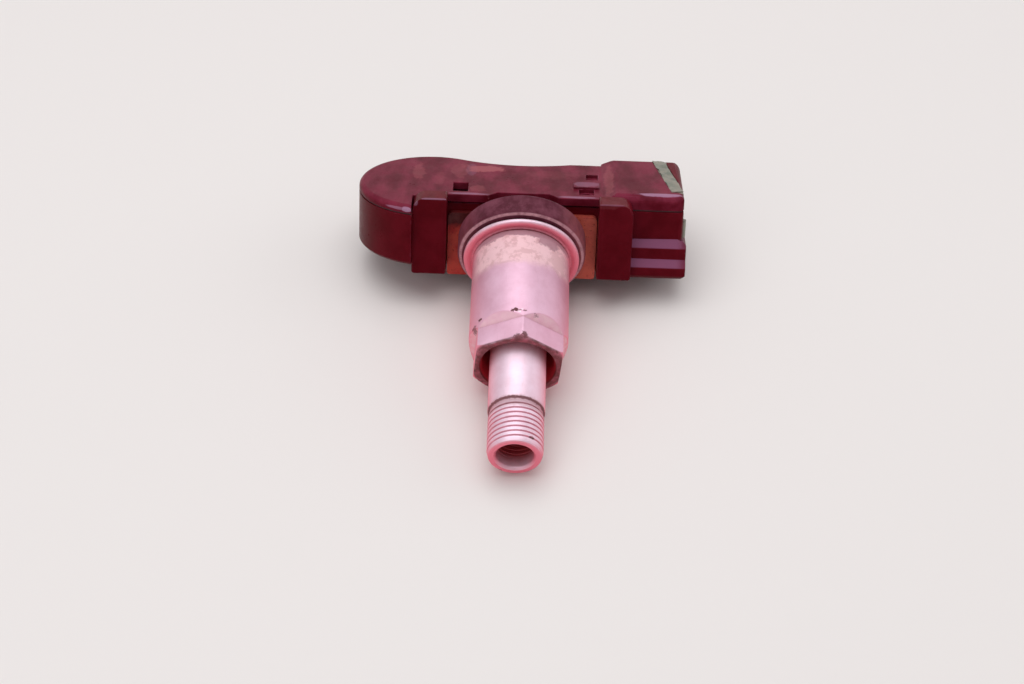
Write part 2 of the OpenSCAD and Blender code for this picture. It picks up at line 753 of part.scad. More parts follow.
// Welded tab from the cell's top down to the board
module cell_tab_plus() {
    x0 = cell_x + 1.5;
    top = cell_z + cell_t;
    foot_x = board_left + 1.2;
    color([0.80, 0.79, 0.74]) rest() along_y(cell_y - 2.6, cell_y - 0.6) polygon([[x0, top], [foot_x, top],
        [foot_x, board_top], [foot_x + 1.4, board_top], [foot_x + 1.4, board_top + tab_t],
        [foot_x + tab_t, board_top + tab_t], [foot_x + tab_t, top + tab_t], [x0, top + tab_t]]);
}

// Welded tab from under the cell's edge to the board
module cell_tab_minus() {
    x0 = cell_x + cell_d / 2 - 2.6;
    y0 = cell_y - 5.2;
    color([0.80, 0.79, 0.74]) rest() slab(x0, board_left + 1.4, y0, y0 + 1.6, board_top, board_top + tab_t);
}

// The circuit board, notched round the screw pocket
module circuit_board() {
    color([0.13, 0.33, 0.19]) rest() translate([0, 0, board_z]) linear_extrude(board_t) board_plan();
}

module board_plan() {
    bay_plan(board_gap, board_left - board_gap);
}

module pressure_sensor() {
    half = sensor_side / 2;
    color([0.55, 0.55, 0.57]) rest() difference() {
        slab(sensor_x - half, sensor_x + half, sensor_y - half, sensor_y + half, board_top, board_top + sensor_h);
        translate([window_x, inlet_y, board_top + sensor_h - 0.6]) cylinder(d = inlet_d, h = cut + 1);
    }
}

// Soft tube that leads the air from the cover down to the sensor
module port_seal() {
    base = board_top + sensor_h;
    color([0.22, 0.22, 0.24]) rest() translate([window_x, inlet_y, base]) difference() {
        cylinder(d = inlet_d + 1, h = cover_z - base);
        translate([0, 0, -cut]) cylinder(d = inlet_d, h = far);
    }
}

// Thin disc in the cover that lets air but no water through
module port_filter() {
    color([0.88, 0.88, 0.86]) rest() translate([window_x, inlet_y, cover_z]) cylinder(d = inlet_d + 0.8, h = 0.3);
}

module transmitter_chip() {
    color([0.10, 0.10, 0.11]) rest()
        slab(chip_x - chip_side / 2, chip_x + chip_side / 2, chip_y - chip_side / 2, chip_y + chip_side / 2,
            board_top, board_top + chip_h);
}

module timing_crystal() {
    color([0.78, 0.78, 0.80]) rest() translate([crystal_x, crystal_y, board_top]) linear_extrude(0.9)
        rounded(-1.25, -1.6, 1.25, 1.6, 0.3, 0.3, 0.3, 0.3);
}

// Ferrite core of the pick-up coil, a bobbin lying on the board
module coil_core() {
    half = coil_len / 2;
    color([0.18, 0.17, 0.18]) rest() translate([coil_x, coil_y, board_top]) {
        for (x = [-half, half - coil_end_t]) slab(x, x + coil_end_t, -coil_h / 2, coil_h / 2, 0, coil_h);
        slab(coil_end_t - half, half - coil_end_t, -coil_h / 2 + coil_neck, coil_h / 2 - coil_neck,
            coil_neck, coil_h - coil_neck);
    }
}

module coil_winding() {
    half = coil_len / 2 - coil_end_t;
    turn = coil_h / 2 - 0.15;
    core = coil_h / 2 - coil_neck;
    color([0.72, 0.42, 0.22]) rest() translate([coil_x, coil_y, board_top + coil_h / 2])
        along_x(-half, half) difference() {
            rounded(-turn, -turn, turn, turn, 0.4, 0.4, 0.4, 0.4);
            translate([-core, -core]) square(2 * core);
        }
}

// Stamped strip that stands on the board as the transmitting antenna
module loop_antenna() {
    x0 = block_x + 0.6;
    x1 = board_right - 0.4;
    y0 = block_front + wall + 0.7;
    strip = 0.4;
    leg = 0.9;
    color([0.80, 0.66, 0.38]) rest() difference() {
        slab(x0, x1, y0, y0 + strip, board_top, board_top + loop_h);
        slab(x0 + leg, x1 - leg, y0 - cut, y0 + strip + cut, board_top - cut, board_top + loop_h - leg);
    }
}

// A row of small chip parts between sensor and transmitter
module chip_capacitors() {
    pitch = 1.8;
    row_x = board_left + 10.6;
    row_y = sensor_y + sensor_side / 2 + 0.7;
    color([0.62, 0.50, 0.38]) rest() for (k = [0:2])
        slab(row_x + k * pitch, row_x + k * pitch + 0.8, row_y, row_y + 1.6, board_top, board_top + 0.7);
}

// Sealing compound under the board
module potting() {
    color([0.50, 0.56, 0.42]) rest()
        translate([0, 0, floor_z]) linear_extrude(board_z - floor_z) bay_plan(0, wall - ear_in);
}

housing_base();
housing_cover();
seal_bead();
seat_plate();
valve_stem();
stem_screw();
lock_washer();
grommet();
seat_washer();
collar_nut();
coin_cell();
cell_tab_plus();
cell_tab_minus();
cell_pad();
circuit_board();
pressure_sensor();
port_seal();
port_filter();
transmitter_chip();
timing_crystal();
coil_core();
coil_winding();
loop_antenna();
chip_capacitors();
potting();
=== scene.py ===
# %% [markdown]
# # A used tyre pressure sensor on a table
#
# The real object is a small radio sensor that sits inside a wheel. Its plastic housing is held to
# the rim by a hollow aluminium valve stem with a long collar nut, a washer and a rubber grommet.
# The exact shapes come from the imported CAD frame, which this lesson loads first. Blender adds what
# the frame leaves plain: screw threads, eased edges, nicks, dirt, dust and every finish.

# %% Load the frame
import json
import math

import bpy
from mathutils import Matrix, Vector


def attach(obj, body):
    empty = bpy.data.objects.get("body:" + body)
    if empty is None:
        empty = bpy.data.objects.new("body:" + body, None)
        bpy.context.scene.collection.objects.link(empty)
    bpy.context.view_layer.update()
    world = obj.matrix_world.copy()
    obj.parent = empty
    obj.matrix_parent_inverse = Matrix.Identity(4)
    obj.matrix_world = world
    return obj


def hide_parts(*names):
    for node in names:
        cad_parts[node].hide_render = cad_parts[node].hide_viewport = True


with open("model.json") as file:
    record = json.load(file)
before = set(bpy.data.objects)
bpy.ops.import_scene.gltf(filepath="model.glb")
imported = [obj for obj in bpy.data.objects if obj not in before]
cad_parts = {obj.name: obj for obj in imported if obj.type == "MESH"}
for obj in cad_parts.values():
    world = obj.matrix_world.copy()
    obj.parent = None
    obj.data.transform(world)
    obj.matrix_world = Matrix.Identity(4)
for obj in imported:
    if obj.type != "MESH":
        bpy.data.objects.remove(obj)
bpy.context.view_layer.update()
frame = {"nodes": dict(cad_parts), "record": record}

# %% [markdown]
# ## Two rulers: the valve and the housing
#
# The part lies tilted on the table, so table coordinates are awkward for its details. Two frames
# make them easy, and both start where the washer's inner face meets the stem's axis. In the valve's
# frame z runs outwards along the stem and y points up from it. In the housing's frame z is square
# to the cover. The stem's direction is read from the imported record, and the angle between stem and
# cover is the one that the housing was designed with, so nothing has to be fitted by eye. The
# places along the valve that come up more than once get a name here.

# %% Valve and housing frames
MM = 0.001
mounts = {m["name"]: m for m in frame["record"]["mounts"]}
seat = Vector(mounts["rim_seat"]["pos_m"])
outward = Vector(mounts["cap_thread"]["axis"])
VALVE_ANGLE = math.radians(24.6)
stem_turn = math.atan2(-outward.y, outward.z)
cover_turn = math.asin(-outward.z) - VALVE_ANGLE
valve_place = Matrix.Translation(seat) @ Matrix.Rotation(stem_turn, 4, "X")
cover_place = Matrix.Translation(seat) @ Matrix.Rotation(cover_turn, 4, "X")
HEX_START = 14.7     # where the slope down to the nut's hexagon begins, in mm from the seat
CAP_START = 28.94    # the first turn of the cap thread
TIP = 36.4           # the outer end of the stem
print("stem turned by", round(math.degrees(stem_turn), 2), "and cover by",
      round(math.degrees(cover_turn), 2), "degrees about X")

# %% [markdown]
# ## Camera, table and light
#
# The camera looks down on the sensor from the valve's side, as in the photo. Its place and lens
# were worked out from the ellipses of the stem's tip, nut and washer. The table is a plain pale
# sheet. One large soft lamp above draws the long highlights along the stem and the cover's rims,
# and two weaker ones fill the front and the right side.

# %% Camera
LENS_MM, FILM_MM = 77.34, 36
CAMERA_PLACE = (-1.231, -242.252, 210.251)      # mm
CAMERA_TURN = (48.92556, -1.61444, 1.30569)     # degrees about X, Y and Z
camera_data = bpy.data.cameras.new("camera")
camera_data.lens = LENS_MM
camera_data.sensor_width = FILM_MM
camera_data.clip_start = 10 * MM
camera = bpy.data.objects.new("camera", camera_data)
camera.location = [c * MM for c in CAMERA_PLACE]
camera.rotation_euler = [math.radians(a) for a in CAMERA_TURN]
bpy.context.scene.collection.objects.link(camera)
bpy.context.scene.camera = camera
bpy.context.scene.view_settings.view_transform = "Standard"
print("camera", round((camera.location - seat).length * 1000), "mm from the washer")

# %% Lamps
def soft_lamp(name, place, size, watts):
    """A square area lamp, its place and size in metres, aimed at the washer."""
    light = bpy.data.lights.new(name, "AREA")
    light.shape = "SQUARE"
    light.size = size
    light.energy = watts
    lamp = bpy.data.objects.new(name, light)
    lamp.location = place
    lamp.rotation_euler = (seat - Vector(place)).to_track_quat("-Z", "Y").to_euler()
    bpy.context.scene.collection.objects.link(lamp)


soft_lamp("lamp_above", place=(-0.05, 0.05, 0.54), size=0.62, watts=2.05)
soft_lamp("lamp_front", place=(-0.34, -0.40, 0.34), size=0.40, watts=0.42)
soft_lamp("lamp_side", place=(0.46, 0.10, 0.26), size=0.40, watts=0.30)
print("3 soft lamps")

# %% [markdown]
# ## Short calls for nodes
#
# Each finish below is a recipe of shader nodes. Wiring them one by one hides the idea, so a small
# helper adds a node, sets it and wires its inputs in one call. It can fill a material or a group.

# %% Recipe helper
class Recipe:
    """A node tree with short calls to add, set and wire its nodes."""

    def __init__(self, tree):
        self.tree = tree

    def add(self, kind, inputs=None, **settings):
        node = self.tree.nodes.new("ShaderNode" + kind)
        for name, value in settings.items():
            setattr(node, name, value)
        for name, value in (inputs or {}).items():
            self.feed(node.inputs[name], value)
        return node

    def feed(self, socket, value):
        if isinstance(value, bpy.types.NodeSocket):
            self.tree.links.new(value, socket)
        else:
            socket.default_value = value

    def math(self, operation, a, b=0.0):
        return self.add("Math", {0: a, 1: b}, operation=operation).outputs[0]

    def blend(self, mask, below, above):
        """The colour above laid over the one below where the mask is 1."""
        colour_sockets = {0: mask, 6: below, 7: above}
        return self.add("Mix", colour_sockets, data_type="RGBA").outputs[2]

    def fade(self, value, low, high, to_low=0.0, to_high=1.0):
        """Maps low..high to to_low..to_high with soft ends, and holds outside."""
        node = self.add("MapRange", {0: value, 1: low, 2: high, 3: to_low, 4: to_high},
                        interpolation_type="SMOOTHSTEP")
        return node.outputs[0]

    def noise(self, vector, scale, detail, rough):
        """A cloudy pattern around 0.5. A larger scale makes it finer."""
        return self.add("TexNoise", {"Vector": vector, "Scale": scale, "Detail": detail,
                                     "Roughness": rough}).outputs[0]

    def stretched(self, vector, scale):
        """The same pattern squeezed or drawn out along the axes."""
        return self.add("Mapping", {"Vector": vector, "Scale": scale}).outputs[0]

    def along(self, vector, axis):
        return self.add("SeparateXYZ", {0: vector}).outputs["XYZ".index(axis)]

    def from_axis(self, vector):
        """How far a point is from the z axis."""
        x, y = self.along(vector, "X"), self.along(vector, "Y")
        squares = self.math("ADD", self.math("MULTIPLY", x, x), self.math("MULTIPLY", y, y))
        return self.math("SQRT", squares)


def rgb(red, green, blue):
    """A colour given as it looks on a screen, 0 to 255, in the shader's linear values."""
    parts = [c / 255 for c in (red, green, blue)]
    linear = [c / 12.92 if c <= 0.04045 else ((c + 0.055) / 1.055) ** 2.4 for c in parts]
    return (*linear, 1.0)


print("white in linear values:", rgb(255, 255, 255))

# %% Table and surroundings
TABLE_SIZE = 3.0    # metres
bpy.ops.object.select_all(action="DESELECT")
bpy.ops.mesh.primitive_plane_add(size=TABLE_SIZE, location=(0, 0, 0))
table = bpy.context.object
table.name = "table"
bpy.ops.object.transform_apply(location=True, rotation=True, scale=True)
paper = bpy.data.materials.new("table_paper")
paper.use_nodes = True
matt = paper.node_tree.nodes["Principled BSDF"].inputs
matt["Base Color"].default_value = rgb(236, 232, 230)
matt["Roughness"].default_value = 0.75
matt["Specular IOR Level"].default_value = 0.2
table.data.materials.append(paper)

world = bpy.data.worlds.new("studio")
bpy.context.scene.world = world
world.use_nodes = True
studio = Recipe(world.node_tree)
backdrop = world.node_tree.nodes["Background"]
rays = studio.add("LightPath").outputs
seen = studio.math("MAXIMUM", rays["Is Camera Ray"],
                   studio.math("MAXIMUM", rays["Is Glossy Ray"], rays["Is Transmission Ray"]))
sky = studio.add("TexCoord").outputs["Generated"]
height, behind = studio.along(sky, "Z"), studio.along(sky, "Y")
above_floor, far_side = studio.fade(height, -0.1, 0.12), studio.fade(behind, -0.4, 0.9, 0.5, 0.8)
glow = studio.math("MULTIPLY", above_floor, far_side)
glow = studio.math("MULTIPLY", glow, studio.fade(height, 0.15, 0.95, 1.0, 0.62))
FILL_LIGHT = 0.44    # what the surroundings give where no ray looks at them straight
studio.feed(backdrop.inputs["Strength"], studio.fade(seen, 0.0, 1.0, FILL_LIGHT, glow))
backdrop.inputs["Color"].default_value = rgb(250, 246, 248)
print("table and pale studio")

# %% [markdown]
# ## Groups that many finishes share
#
# Dirt, dust, grain and wear turn up on almost every surface of a used part, each time with other
# amounts. A node group is built once for each and then placed in a material with its own values.
# The groups only give masks and heights. The shader itself stays in each material.

# %% Group maker
def effect_group(name, inputs, output="Mask"):
    """An empty node group with a vector, named numbers as inputs and one number as output."""
    tree = bpy.data.node_groups.new(name, "ShaderNodeTree")
    tree.interface.new_socket("Vector", in_out="INPUT", socket_type="NodeSocketVector")
    for label, value in inputs.items():
        kind = "NodeSocketVector" if isinstance(value, tuple) else "NodeSocketFloat"
        tree.interface.new_socket(label, in_out="INPUT", socket_type=kind).default_value = value
    tree.interface.new_socket(output, in_out="OUTPUT", socket_type="NodeSocketFloat")
    recipe = Recipe(tree)
    ins = tree.nodes.new("NodeGroupInput").outputs
    out = tree.nodes.new("NodeGroupOutput").inputs[0]
    return recipe, ins, out


def use_group(recipe, name, vector, **values):
    """Places a group in a recipe and gives its output."""
    node = recipe.add("Group", node_tree=bpy.data.node_groups[name])
    recipe.feed(node.inputs["Vector"], vector)
    for label, value in values.items():
        recipe.feed(node.inputs[label.replace("_", " ").capitalize()], value)
    return node.outputs[0]


def crowding(g, reach, inside=False):
    """1 where surfaces lie within a reach in mm, 0 in the open. Inside looks into the solid."""
    distance = g.math("MULTIPLY", reach, MM)
    nearby = g.add("AmbientOcclusion", {"Distance": distance}, samples=8, inside=inside)
    return g.math("SUBTRACT", 1.0, nearby.outputs["AO"])


def looking_up(g):
    """The part of the surface's direction that points up, from -1 to 1."""
    return g.along(g.add("NewGeometry").outputs["Normal"], "Z")


# %% Smudge: one ragged spot at a place
g, ins, out = effect_group("smudge", {"Place": (0.0, 0.0, 0.0), "Size": (1.0, 1.0, 1.0),
                                      "Ragged": 0.5, "Grain": 0.8})
apart = g.add("VectorMath", {0: ins["Vector"], 1: ins["Place"]}, operation="SUBTRACT").outputs[0]
shrunk = g.add("VectorMath", {0: apart, 1: ins["Size"]}, operation="DIVIDE").outputs[0]
reach = g.add("VectorMath", {0: shrunk}, operation="LENGTH").outputs["Value"]
torn = g.math("MULTIPLY", g.math("SUBTRACT", g.noise(ins["Vector"], ins["Grain"], 5.0, 0.65), 0.5),
              g.math("MULTIPLY", ins["Ragged"], 3.0))
g.feed(out, g.fade(g.math("ADD", reach, torn), 0.75, 1.1, 1.0, 0.0))

# %% Patches: worn or dirty areas of many sizes
g, ins, out = effect_group("patches", {"Grain": 0.4, "Cover": 0.5, "Soft": 0.08})
mottle = g.noise(ins["Vector"], ins["Grain"], 6.0, 0.62)
edge = g.math("SUBTRACT", 1.0, ins["Cover"])
g.feed(out, g.fade(mottle, g.math("SUBTRACT", edge, ins["Soft"]), g.math("ADD", edge, ins["Soft"])))

# %% Dust: settles on faces that look up, thicker in the corners
g, ins, out = effect_group("dust", {"Amount": 0.5, "Grain": 0.5, "Corner": 1.2})
flat = g.fade(looking_up(g), 0.1, 0.95)
corner = crowding(g, ins["Corner"])
cloud = g.fade(g.noise(ins["Vector"], ins["Grain"], 6.0, 0.6), 0.35, 0.7)
speck = g.fade(g.noise(ins["Vector"], 5.0, 2.0, 0.6), 0.62, 0.7)
layer = g.math("ADD", g.math("MULTIPLY", cloud, 0.8), g.math("MULTIPLY", speck, 0.5))
settled = g.math("MULTIPLY", flat, layer)
heaped = g.math("MULTIPLY", corner, g.fade(g.noise(ins["Vector"], 1.3, 4.0, 0.6), 0.3, 0.75))
both = g.math("MULTIPLY", g.math("ADD", settled, heaped), ins["Amount"])
g.feed(out, g.math("MINIMUM", both, 1.0))

# %% Upward: 1 where the surface looks up, 0 where it doesn't
g, ins, out = effect_group("upward", {"Low": 0.2, "High": 0.8})
g.feed(out, g.fade(looking_up(g), ins["Low"], ins["High"]))

# %% Grime: dark dirt in hollows
g, ins, out = effect_group("grime", {"Reach": 0.8, "Grain": 1.0, "Amount": 1.0})
hollow = crowding(g, ins["Reach"])
broken = g.fade(g.noise(ins["Vector"], ins["Grain"], 5.0, 0.65), 0.25, 0.7, 0.35, 1.0)
dirt = g.math("MULTIPLY", g.math("MULTIPLY", hollow, broken), ins["Amount"])
g.feed(out, g.math("MINIMUM", dirt, 1.0))

# %% Rubbed edges: where a corner sticks out, the surface is worn, and some finishes paint a highlight there
g, ins, out = effect_group("rubbed", {"Reach": 0.25, "Grain": 2.0, "Amount": 1.0})
proud = crowding(g, ins["Reach"], inside=True)
uneven = g.fade(g.noise(ins["Vector"], ins["Grain"], 4.0, 0.6), 0.3, 0.65, 0.15, 1.0)
g.feed(out, g.fade(g.math("MULTIPLY", g.math("MULTIPLY", proud, uneven), ins["Amount"]), 0.12, 0.5))

# %% Fine grain: the small unevenness of a moulded or blasted surface
g, ins, out = effect_group("fine grain", {"Grain": 6.0}, "Height")
small = g.noise(ins["Vector"], ins["Grain"], 4.0, 0.6)
large = g.noise(ins["Vector"], g.math("MULTIPLY", ins["Grain"], 0.18), 2.0, 0.5)
g.feed(out, g.math("ADD", g.math("MULTIPLY", small, 0.7), g.math("MULTIPLY", large, 0.5)))

# %% Scratches: thin broken lines in one direction
g, ins, out = effect_group("scratches", {"Stretch": (0.15, 4.0, 4.0), "Cover": 0.35})
lines = g.add("VectorMath", {0: ins["Vector"], 1: ins["Stretch"]}, operation="MULTIPLY").outputs[0]
g.feed(out, g.fade(g.noise(lines, 1.6, 3.0, 0.7), g.math("SUBTRACT", 1.0, ins["Cover"]), 0.8))
print("shared groups:", [tree.name for tree in bpy.data.node_groups])

# %% [markdown]
# ## Starting a finish
#
# Every finish is a Principled shader whose inputs are fed by masks. Its pattern is measured in
# millimetres, in the valve's or the housing's own frame, so that a patch can be put on one side of
# the nut or along one edge of the cover.

# %% Finish starter
def new_finish(slot, ruler):
    """A material with its recipe, its shader and a vector in mm, in the frame of the ruler."""
    finish = bpy.data.materials.new("finish_" + slot)
    finish.use_nodes = True
    recipe = Recipe(finish.node_tree)
    shader = finish.node_tree.nodes["Principled BSDF"]
    turn = {"valve": stem_turn, "housing": cover_turn}[ruler]
    place = recipe.add("TexCoord").outputs["Object"]
    ruled = {"Vector": place, "Location": tuple(seat), "Rotation": (turn, 0, 0),
             "Scale": (MM, MM, MM)}
    vector = recipe.add("Mapping", ruled, vector_type="TEXTURE").outputs[0]
    return finish, recipe, shader, vector


def relief(recipe, shader, height, strength, depth_mm):
    """Feeds the shader's normal from a height."""
    bump = recipe.add("Bump", {"Height": height, "Strength": strength, "Distance": depth_mm * MM})
    recipe.feed(shader.inputs["Normal"], bump.outputs[0])


def add_marks(r, vector, mask, marks, grain=2.4):
    """Adds small ragged marks, each (place, size, ragged, strength), to a mask."""
    for place, size, ragged, strength in marks:
        spot = use_group(r, "smudge", vector, place=place, size=size, ragged=ragged, grain=grain)
        mask = r.math("MAXIMUM", mask, r.math("MULTIPLY", spot, strength))
    return mask


finishes = {}

# %% [markdown]
# ## Black plastic, browned and dusty
#
# The housing is glass-filled nylon. Years by a hot brake have given it a dull maroon bloom. Its
# upright faces are pulled towards the deep colour as painted shade. What looks up has road dust and
# a painted lavender sheen, rubbed rims are painted lighter as wear and as a painted highlight, and
# painted highlights lie where the lamp catches worn rims and lips. One function makes the finish for
# the tub and the cover. They differ in colour, shine, painted sheen and dust, and in where their
# smudges and painted highlights lie.

# %% Plastic of the housing
def moulded_plastic(slot, deep, bloom, gloss, painted_sheen, painted_sheen_top, dust_amount, smudges, painted_highlights):
    """Nylon with a mould's grain, a bloom, dust and rubbed rims painted lighter, as wear and as a
    painted highlight. What looks up, below the sheen's top in mm, has a painted lavender sheen, and
    upright faces are painted darker as shade. Smudges of dust and painted highlights on the rims and
    lips are (place, size, strength)."""
    streak_colour, painted_sheen_colour, rubbed_rim_highlight_colour = rgb(116, 56, 74), rgb(138, 88, 120), rgb(140, 84, 108)
    painted_highlight_colour, dust_colour = rgb(170, 128, 156), rgb(170, 98, 104)
    # The pink specular tint is a painted reflection: it stands for reddish light bounced onto the
    # plastic.
    pink_reflection_tint = rgb(236, 150, 186)
    finish, r, shader, vector = new_finish(slot, "housing")
    drawn_out = r.stretched(vector, (1.0, 0.4, 1.0))
    mottle = use_group(r, "patches", drawn_out, grain=0.3, cover=0.5, soft=0.16)
    streaks = use_group(r, "scratches", vector, stretch=(0.5, 3.0, 3.0), cover=0.45)
    colour = r.blend(mottle, deep, bloom)
    colour = r.blend(r.math("MULTIPLY", streaks, 0.14), colour, streak_colour)
    # Painted lavender sheen on faces that look up, below a given height, weaker at the block's right
    # corner.
    level = r.fade(r.along(vector, "Z"), painted_sheen_top, painted_sheen_top + 1.0, painted_sheen, 0.0)
    right_corner = r.fade(r.along(vector, "X"), 22.6, 24.2, 1.0, 0.35)
    level = r.math("MULTIPLY", level, right_corner)
    sheen_mask = r.math("MULTIPLY", use_group(r, "upward", vector, low=0.4, high=0.85), level)
    colour = r.blend(sheen_mask, colour, painted_sheen_colour)
    # Painted shade: faces that stand upright are pulled towards the deep colour.
    upright_shade = r.math("SUBTRACT", 1.0, use_group(r, "upward", vector, low=0.1, high=0.6))
    colour = r.blend(r.math("MULTIPLY", upright_shade, 0.6), colour, deep)
    # Rubbed rims painted lighter: edge wear, and a painted highlight along the edge.
    rubbed = use_group(r, "rubbed", vector, reach=0.35, grain=1.2, amount=0.9)
    colour = r.blend(r.math("MULTIPLY", rubbed, 0.3), colour, rubbed_rim_highlight_colour)
    # Painted highlights: pale lavender spots and bars where the lamp catches the rims, ears and
    # lips.
    painted_highlights = [(place, size, 0.3, strength) for place, size, strength in painted_highlights]
    colour = r.blend(add_marks(r, vector, 0.0, painted_highlights, grain=0.5), colour, painted_highlight_colour)
    dust = use_group(r, "dust", vector, amount=dust_amount, grain=0.3, corner=1.4)
    smudges = [(place, size, 0.7, strength) for place, size, strength in smudges]
    dust = add_marks(r, vector, dust, smudges, grain=0.6)
    colour = r.blend(dust, colour, dust_colour)
    r.feed(shader.inputs["Base Color"], colour)
    rough = r.fade(use_group(r, "fine grain", vector, grain=2.5), 0.35, 0.85, 0.26, 0.42)
    rough = r.math("SUBTRACT", rough, r.math("MULTIPLY", rubbed, 0.08))
    r.feed(shader.inputs["Roughness"], r.math("ADD", rough, r.math("MULTIPLY", dust, 0.35)))
    shader.inputs["Specular IOR Level"].default_value = gloss
    shader.inputs["Specular Tint"].default_value = pink_reflection_tint
    relief(r, shader, use_group(r, "fine grain", vector, grain=4.0), strength=0.2, depth_mm=0.03)
    return finish


finishes["case_plastic"] = moulded_plastic(
    "case_plastic", deep=rgb(82, 8, 16), bloom=rgb(102, 16, 28), gloss=0.08, painted_sheen=0.74,
    painted_sheen_top=3.0, dust_amount=0.02,
    smudges=[((12.5, 2.0, 7.8), (2.6, 2.2, 0.6), 0.1)],
    painted_highlights=[((-13.2, 2.15, 7.86), (2.5, 0.24, 0.16), 0.5),
            ((-15.6, 2.15, 7.2), (0.4, 0.24, 0.5), 0.35),
            ((13.0, 2.15, 7.86), (2.3, 0.2, 0.14), 0.25)])
finishes["cover_plastic"] = moulded_plastic(
    "cover_plastic", deep=rgb(88, 13, 27), bloom=rgb(124, 38, 58), gloss=0.05, painted_sheen=0.05,
    painted_sheen_top=9.0, dust_amount=0.07,
    smudges=[((-6.0, 17.7, 7.0), (3.2, 1.4, 1.0), 0.75),
             ((-15.7, 15.5, 7.0), (1.0, 3.2, 1.0), 0.3),
             ((-9.6, 17.0, 7.0), (1.4, 3.4, 1.0), 0.24),
             ((-12.4, 13.0, 7.0), (0.8, 3.0, 1.0), 0.14),
             ((-6.8, 9.2, 7.0), (1.2, 1.4, 1.0), 0.3),
             ((12.6, 13.0, 7.8), (0.8, 7.0, 1.2), 0.36),
             ((4.0, 16.0, 7.0), (4.0, 1.6, 1.0), 0.12),
             # This last smudge, at the right end of the left lip, is a painted highlight spot in the
             # dust's colour.
             ((-5.0, 5.8, 7.0), (0.5, 0.9, 1.2), 0.9)],
    painted_highlights=[((20.3, 6.75, 7.95), (3.6, 0.5, 0.32), 0.85),
            ((-8.0, 7.0, 7.0), (3.0, 0.4, 0.4), 0.5),
            ((8.0, 7.0, 7.0), (3.0, 0.4, 0.4), 0.5),
            ((-18.6, 1.6, 6.4), (2.4, 1.6, 0.22), 0.5),
            ((-16.9, 1.0, 6.4), (0.8, 1.0, 0.42), 0.9),
            ((-7.9, 17.2, 7.0), (0.9, 2.6, 1.0), 0.16),
            ((9.3, 11.7, 7.35), (2.1, 1.2, 0.3), 0.32)])
print("plastics ready")

# %% [markdown]
# ## Aluminium
#
# The stem was turned on a lathe, so very fine rings run round it. Salt and dust have dulled it to a
# soft satin, and the sides that don't look up take a warm pink painted reflection. Dirt fills the
# thread's roots, and the bore is painted darker and redder inside as shade. The collar nut is
# dirtier: near the washer a pale sandy patch meets a grey skin, and it is nicked and brown round the
# hexagon. Its end face and the mouth of its bore are painted dark as shade, and its rubbed edges and
# burrs are painted near white, as wear and as painted highlights. Rings that follow the axis need a
# pattern that changes along z only, so the valve's frame is squeezed in x and y.

# %% Aluminium of the stem, the washer and the nut
def satin_aluminium(slot, colour, tarnish):
    """Worn aluminium. Gives the recipe, so that marks can be laid on before it is finished."""
    scuff_colour, side_reflection_tint = rgb(170, 136, 148), rgb(240, 110, 132)
    finish, r, shader, vector = new_finish(slot, "valve")
    cloudy = use_group(r, "patches", vector, grain=0.35, cover=0.5, soft=0.25)
    metal = r.blend(cloudy, colour, tarnish)
    scuffs = use_group(r, "scratches", vector, stretch=(3.0, 3.0, 0.3), cover=0.42)
    metal = r.blend(r.math("MULTIPLY", scuffs, 0.2), metal, scuff_colour)
    # Painted reflection: a warm pink on the sides that don't look up.
    side_reflection_mask = r.math("SUBTRACT", 1.0, use_group(r, "upward", vector, low=-0.2, high=0.97))
    metal = r.blend(r.math("MULTIPLY", side_reflection_mask, 0.88), metal, side_reflection_tint)
    grime = use_group(r, "grime", vector, reach=0.6, grain=1.6, amount=1.3)
    specks = r.fade(r.noise(vector, 3.2, 3.0, 0.7), 0.72, 0.78, 0.0, 0.5)
    return finish, r, shader, vector, metal, r.math("MAXIMUM", grime, specks)


def finish_aluminium(slot, finish, r, shader, vector, metal, chalk, grime):
    """Chalk is the dry worn skin without gloss, grime the brown dirt, on the nut also the painted
    shade of its end face. Both are masks.
    """
    dirt_colour = rgb(102, 46, 48)
    rings = r.noise(r.stretched(vector, (0.02, 0.02, 5.0)), 1.0, 4.0, 0.65)
    metal = r.blend(grime, metal, dirt_colour)
    r.feed(shader.inputs["Base Color"], metal)
    dull = r.math("MAXIMUM", grime, r.math("MULTIPLY", chalk, 0.55))
    r.feed(shader.inputs["Metallic"], r.fade(dull, 0.0, 1.0, 0.62, 0.1))
    rough = r.math("ADD", r.fade(rings, 0.25, 0.8, 0.44, 0.56), r.math("MULTIPLY", dull, 0.25))
    r.feed(shader.inputs["Roughness"], rough)
    grain = use_group(r, "fine grain", vector, grain=4.0)
    fine = r.math("ADD", r.math("MULTIPLY", rings, 0.5), grain)
    fine = r.math("ADD", fine, r.math("MULTIPLY", r.noise(vector, 2.2, 4.0, 0.65), chalk))
    sunken = r.math("SUBTRACT", fine, r.math("MULTIPLY", grime, 0.4))
    relief(r, shader, sunken, strength=0.3, depth_mm=0.035)
    finishes[slot] = finish


def band(r, value, low, high, soft, wave=0.0, vector=None, grain=1.0):
    """A mask that is 1 between two values. The wave makes both ends ragged, in mm."""
    if wave:
        shift = r.math("SUBTRACT", r.noise(vector, grain, 5.0, 0.65), 0.5)
        value = r.math("ADD", value, r.math("MULTIPLY", shift, 2 * wave))
    start, end = r.fade(value, low - soft, low), r.fade(value, high, high + soft, 1.0, 0.0)
    return r.math("MULTIPLY", start, end)


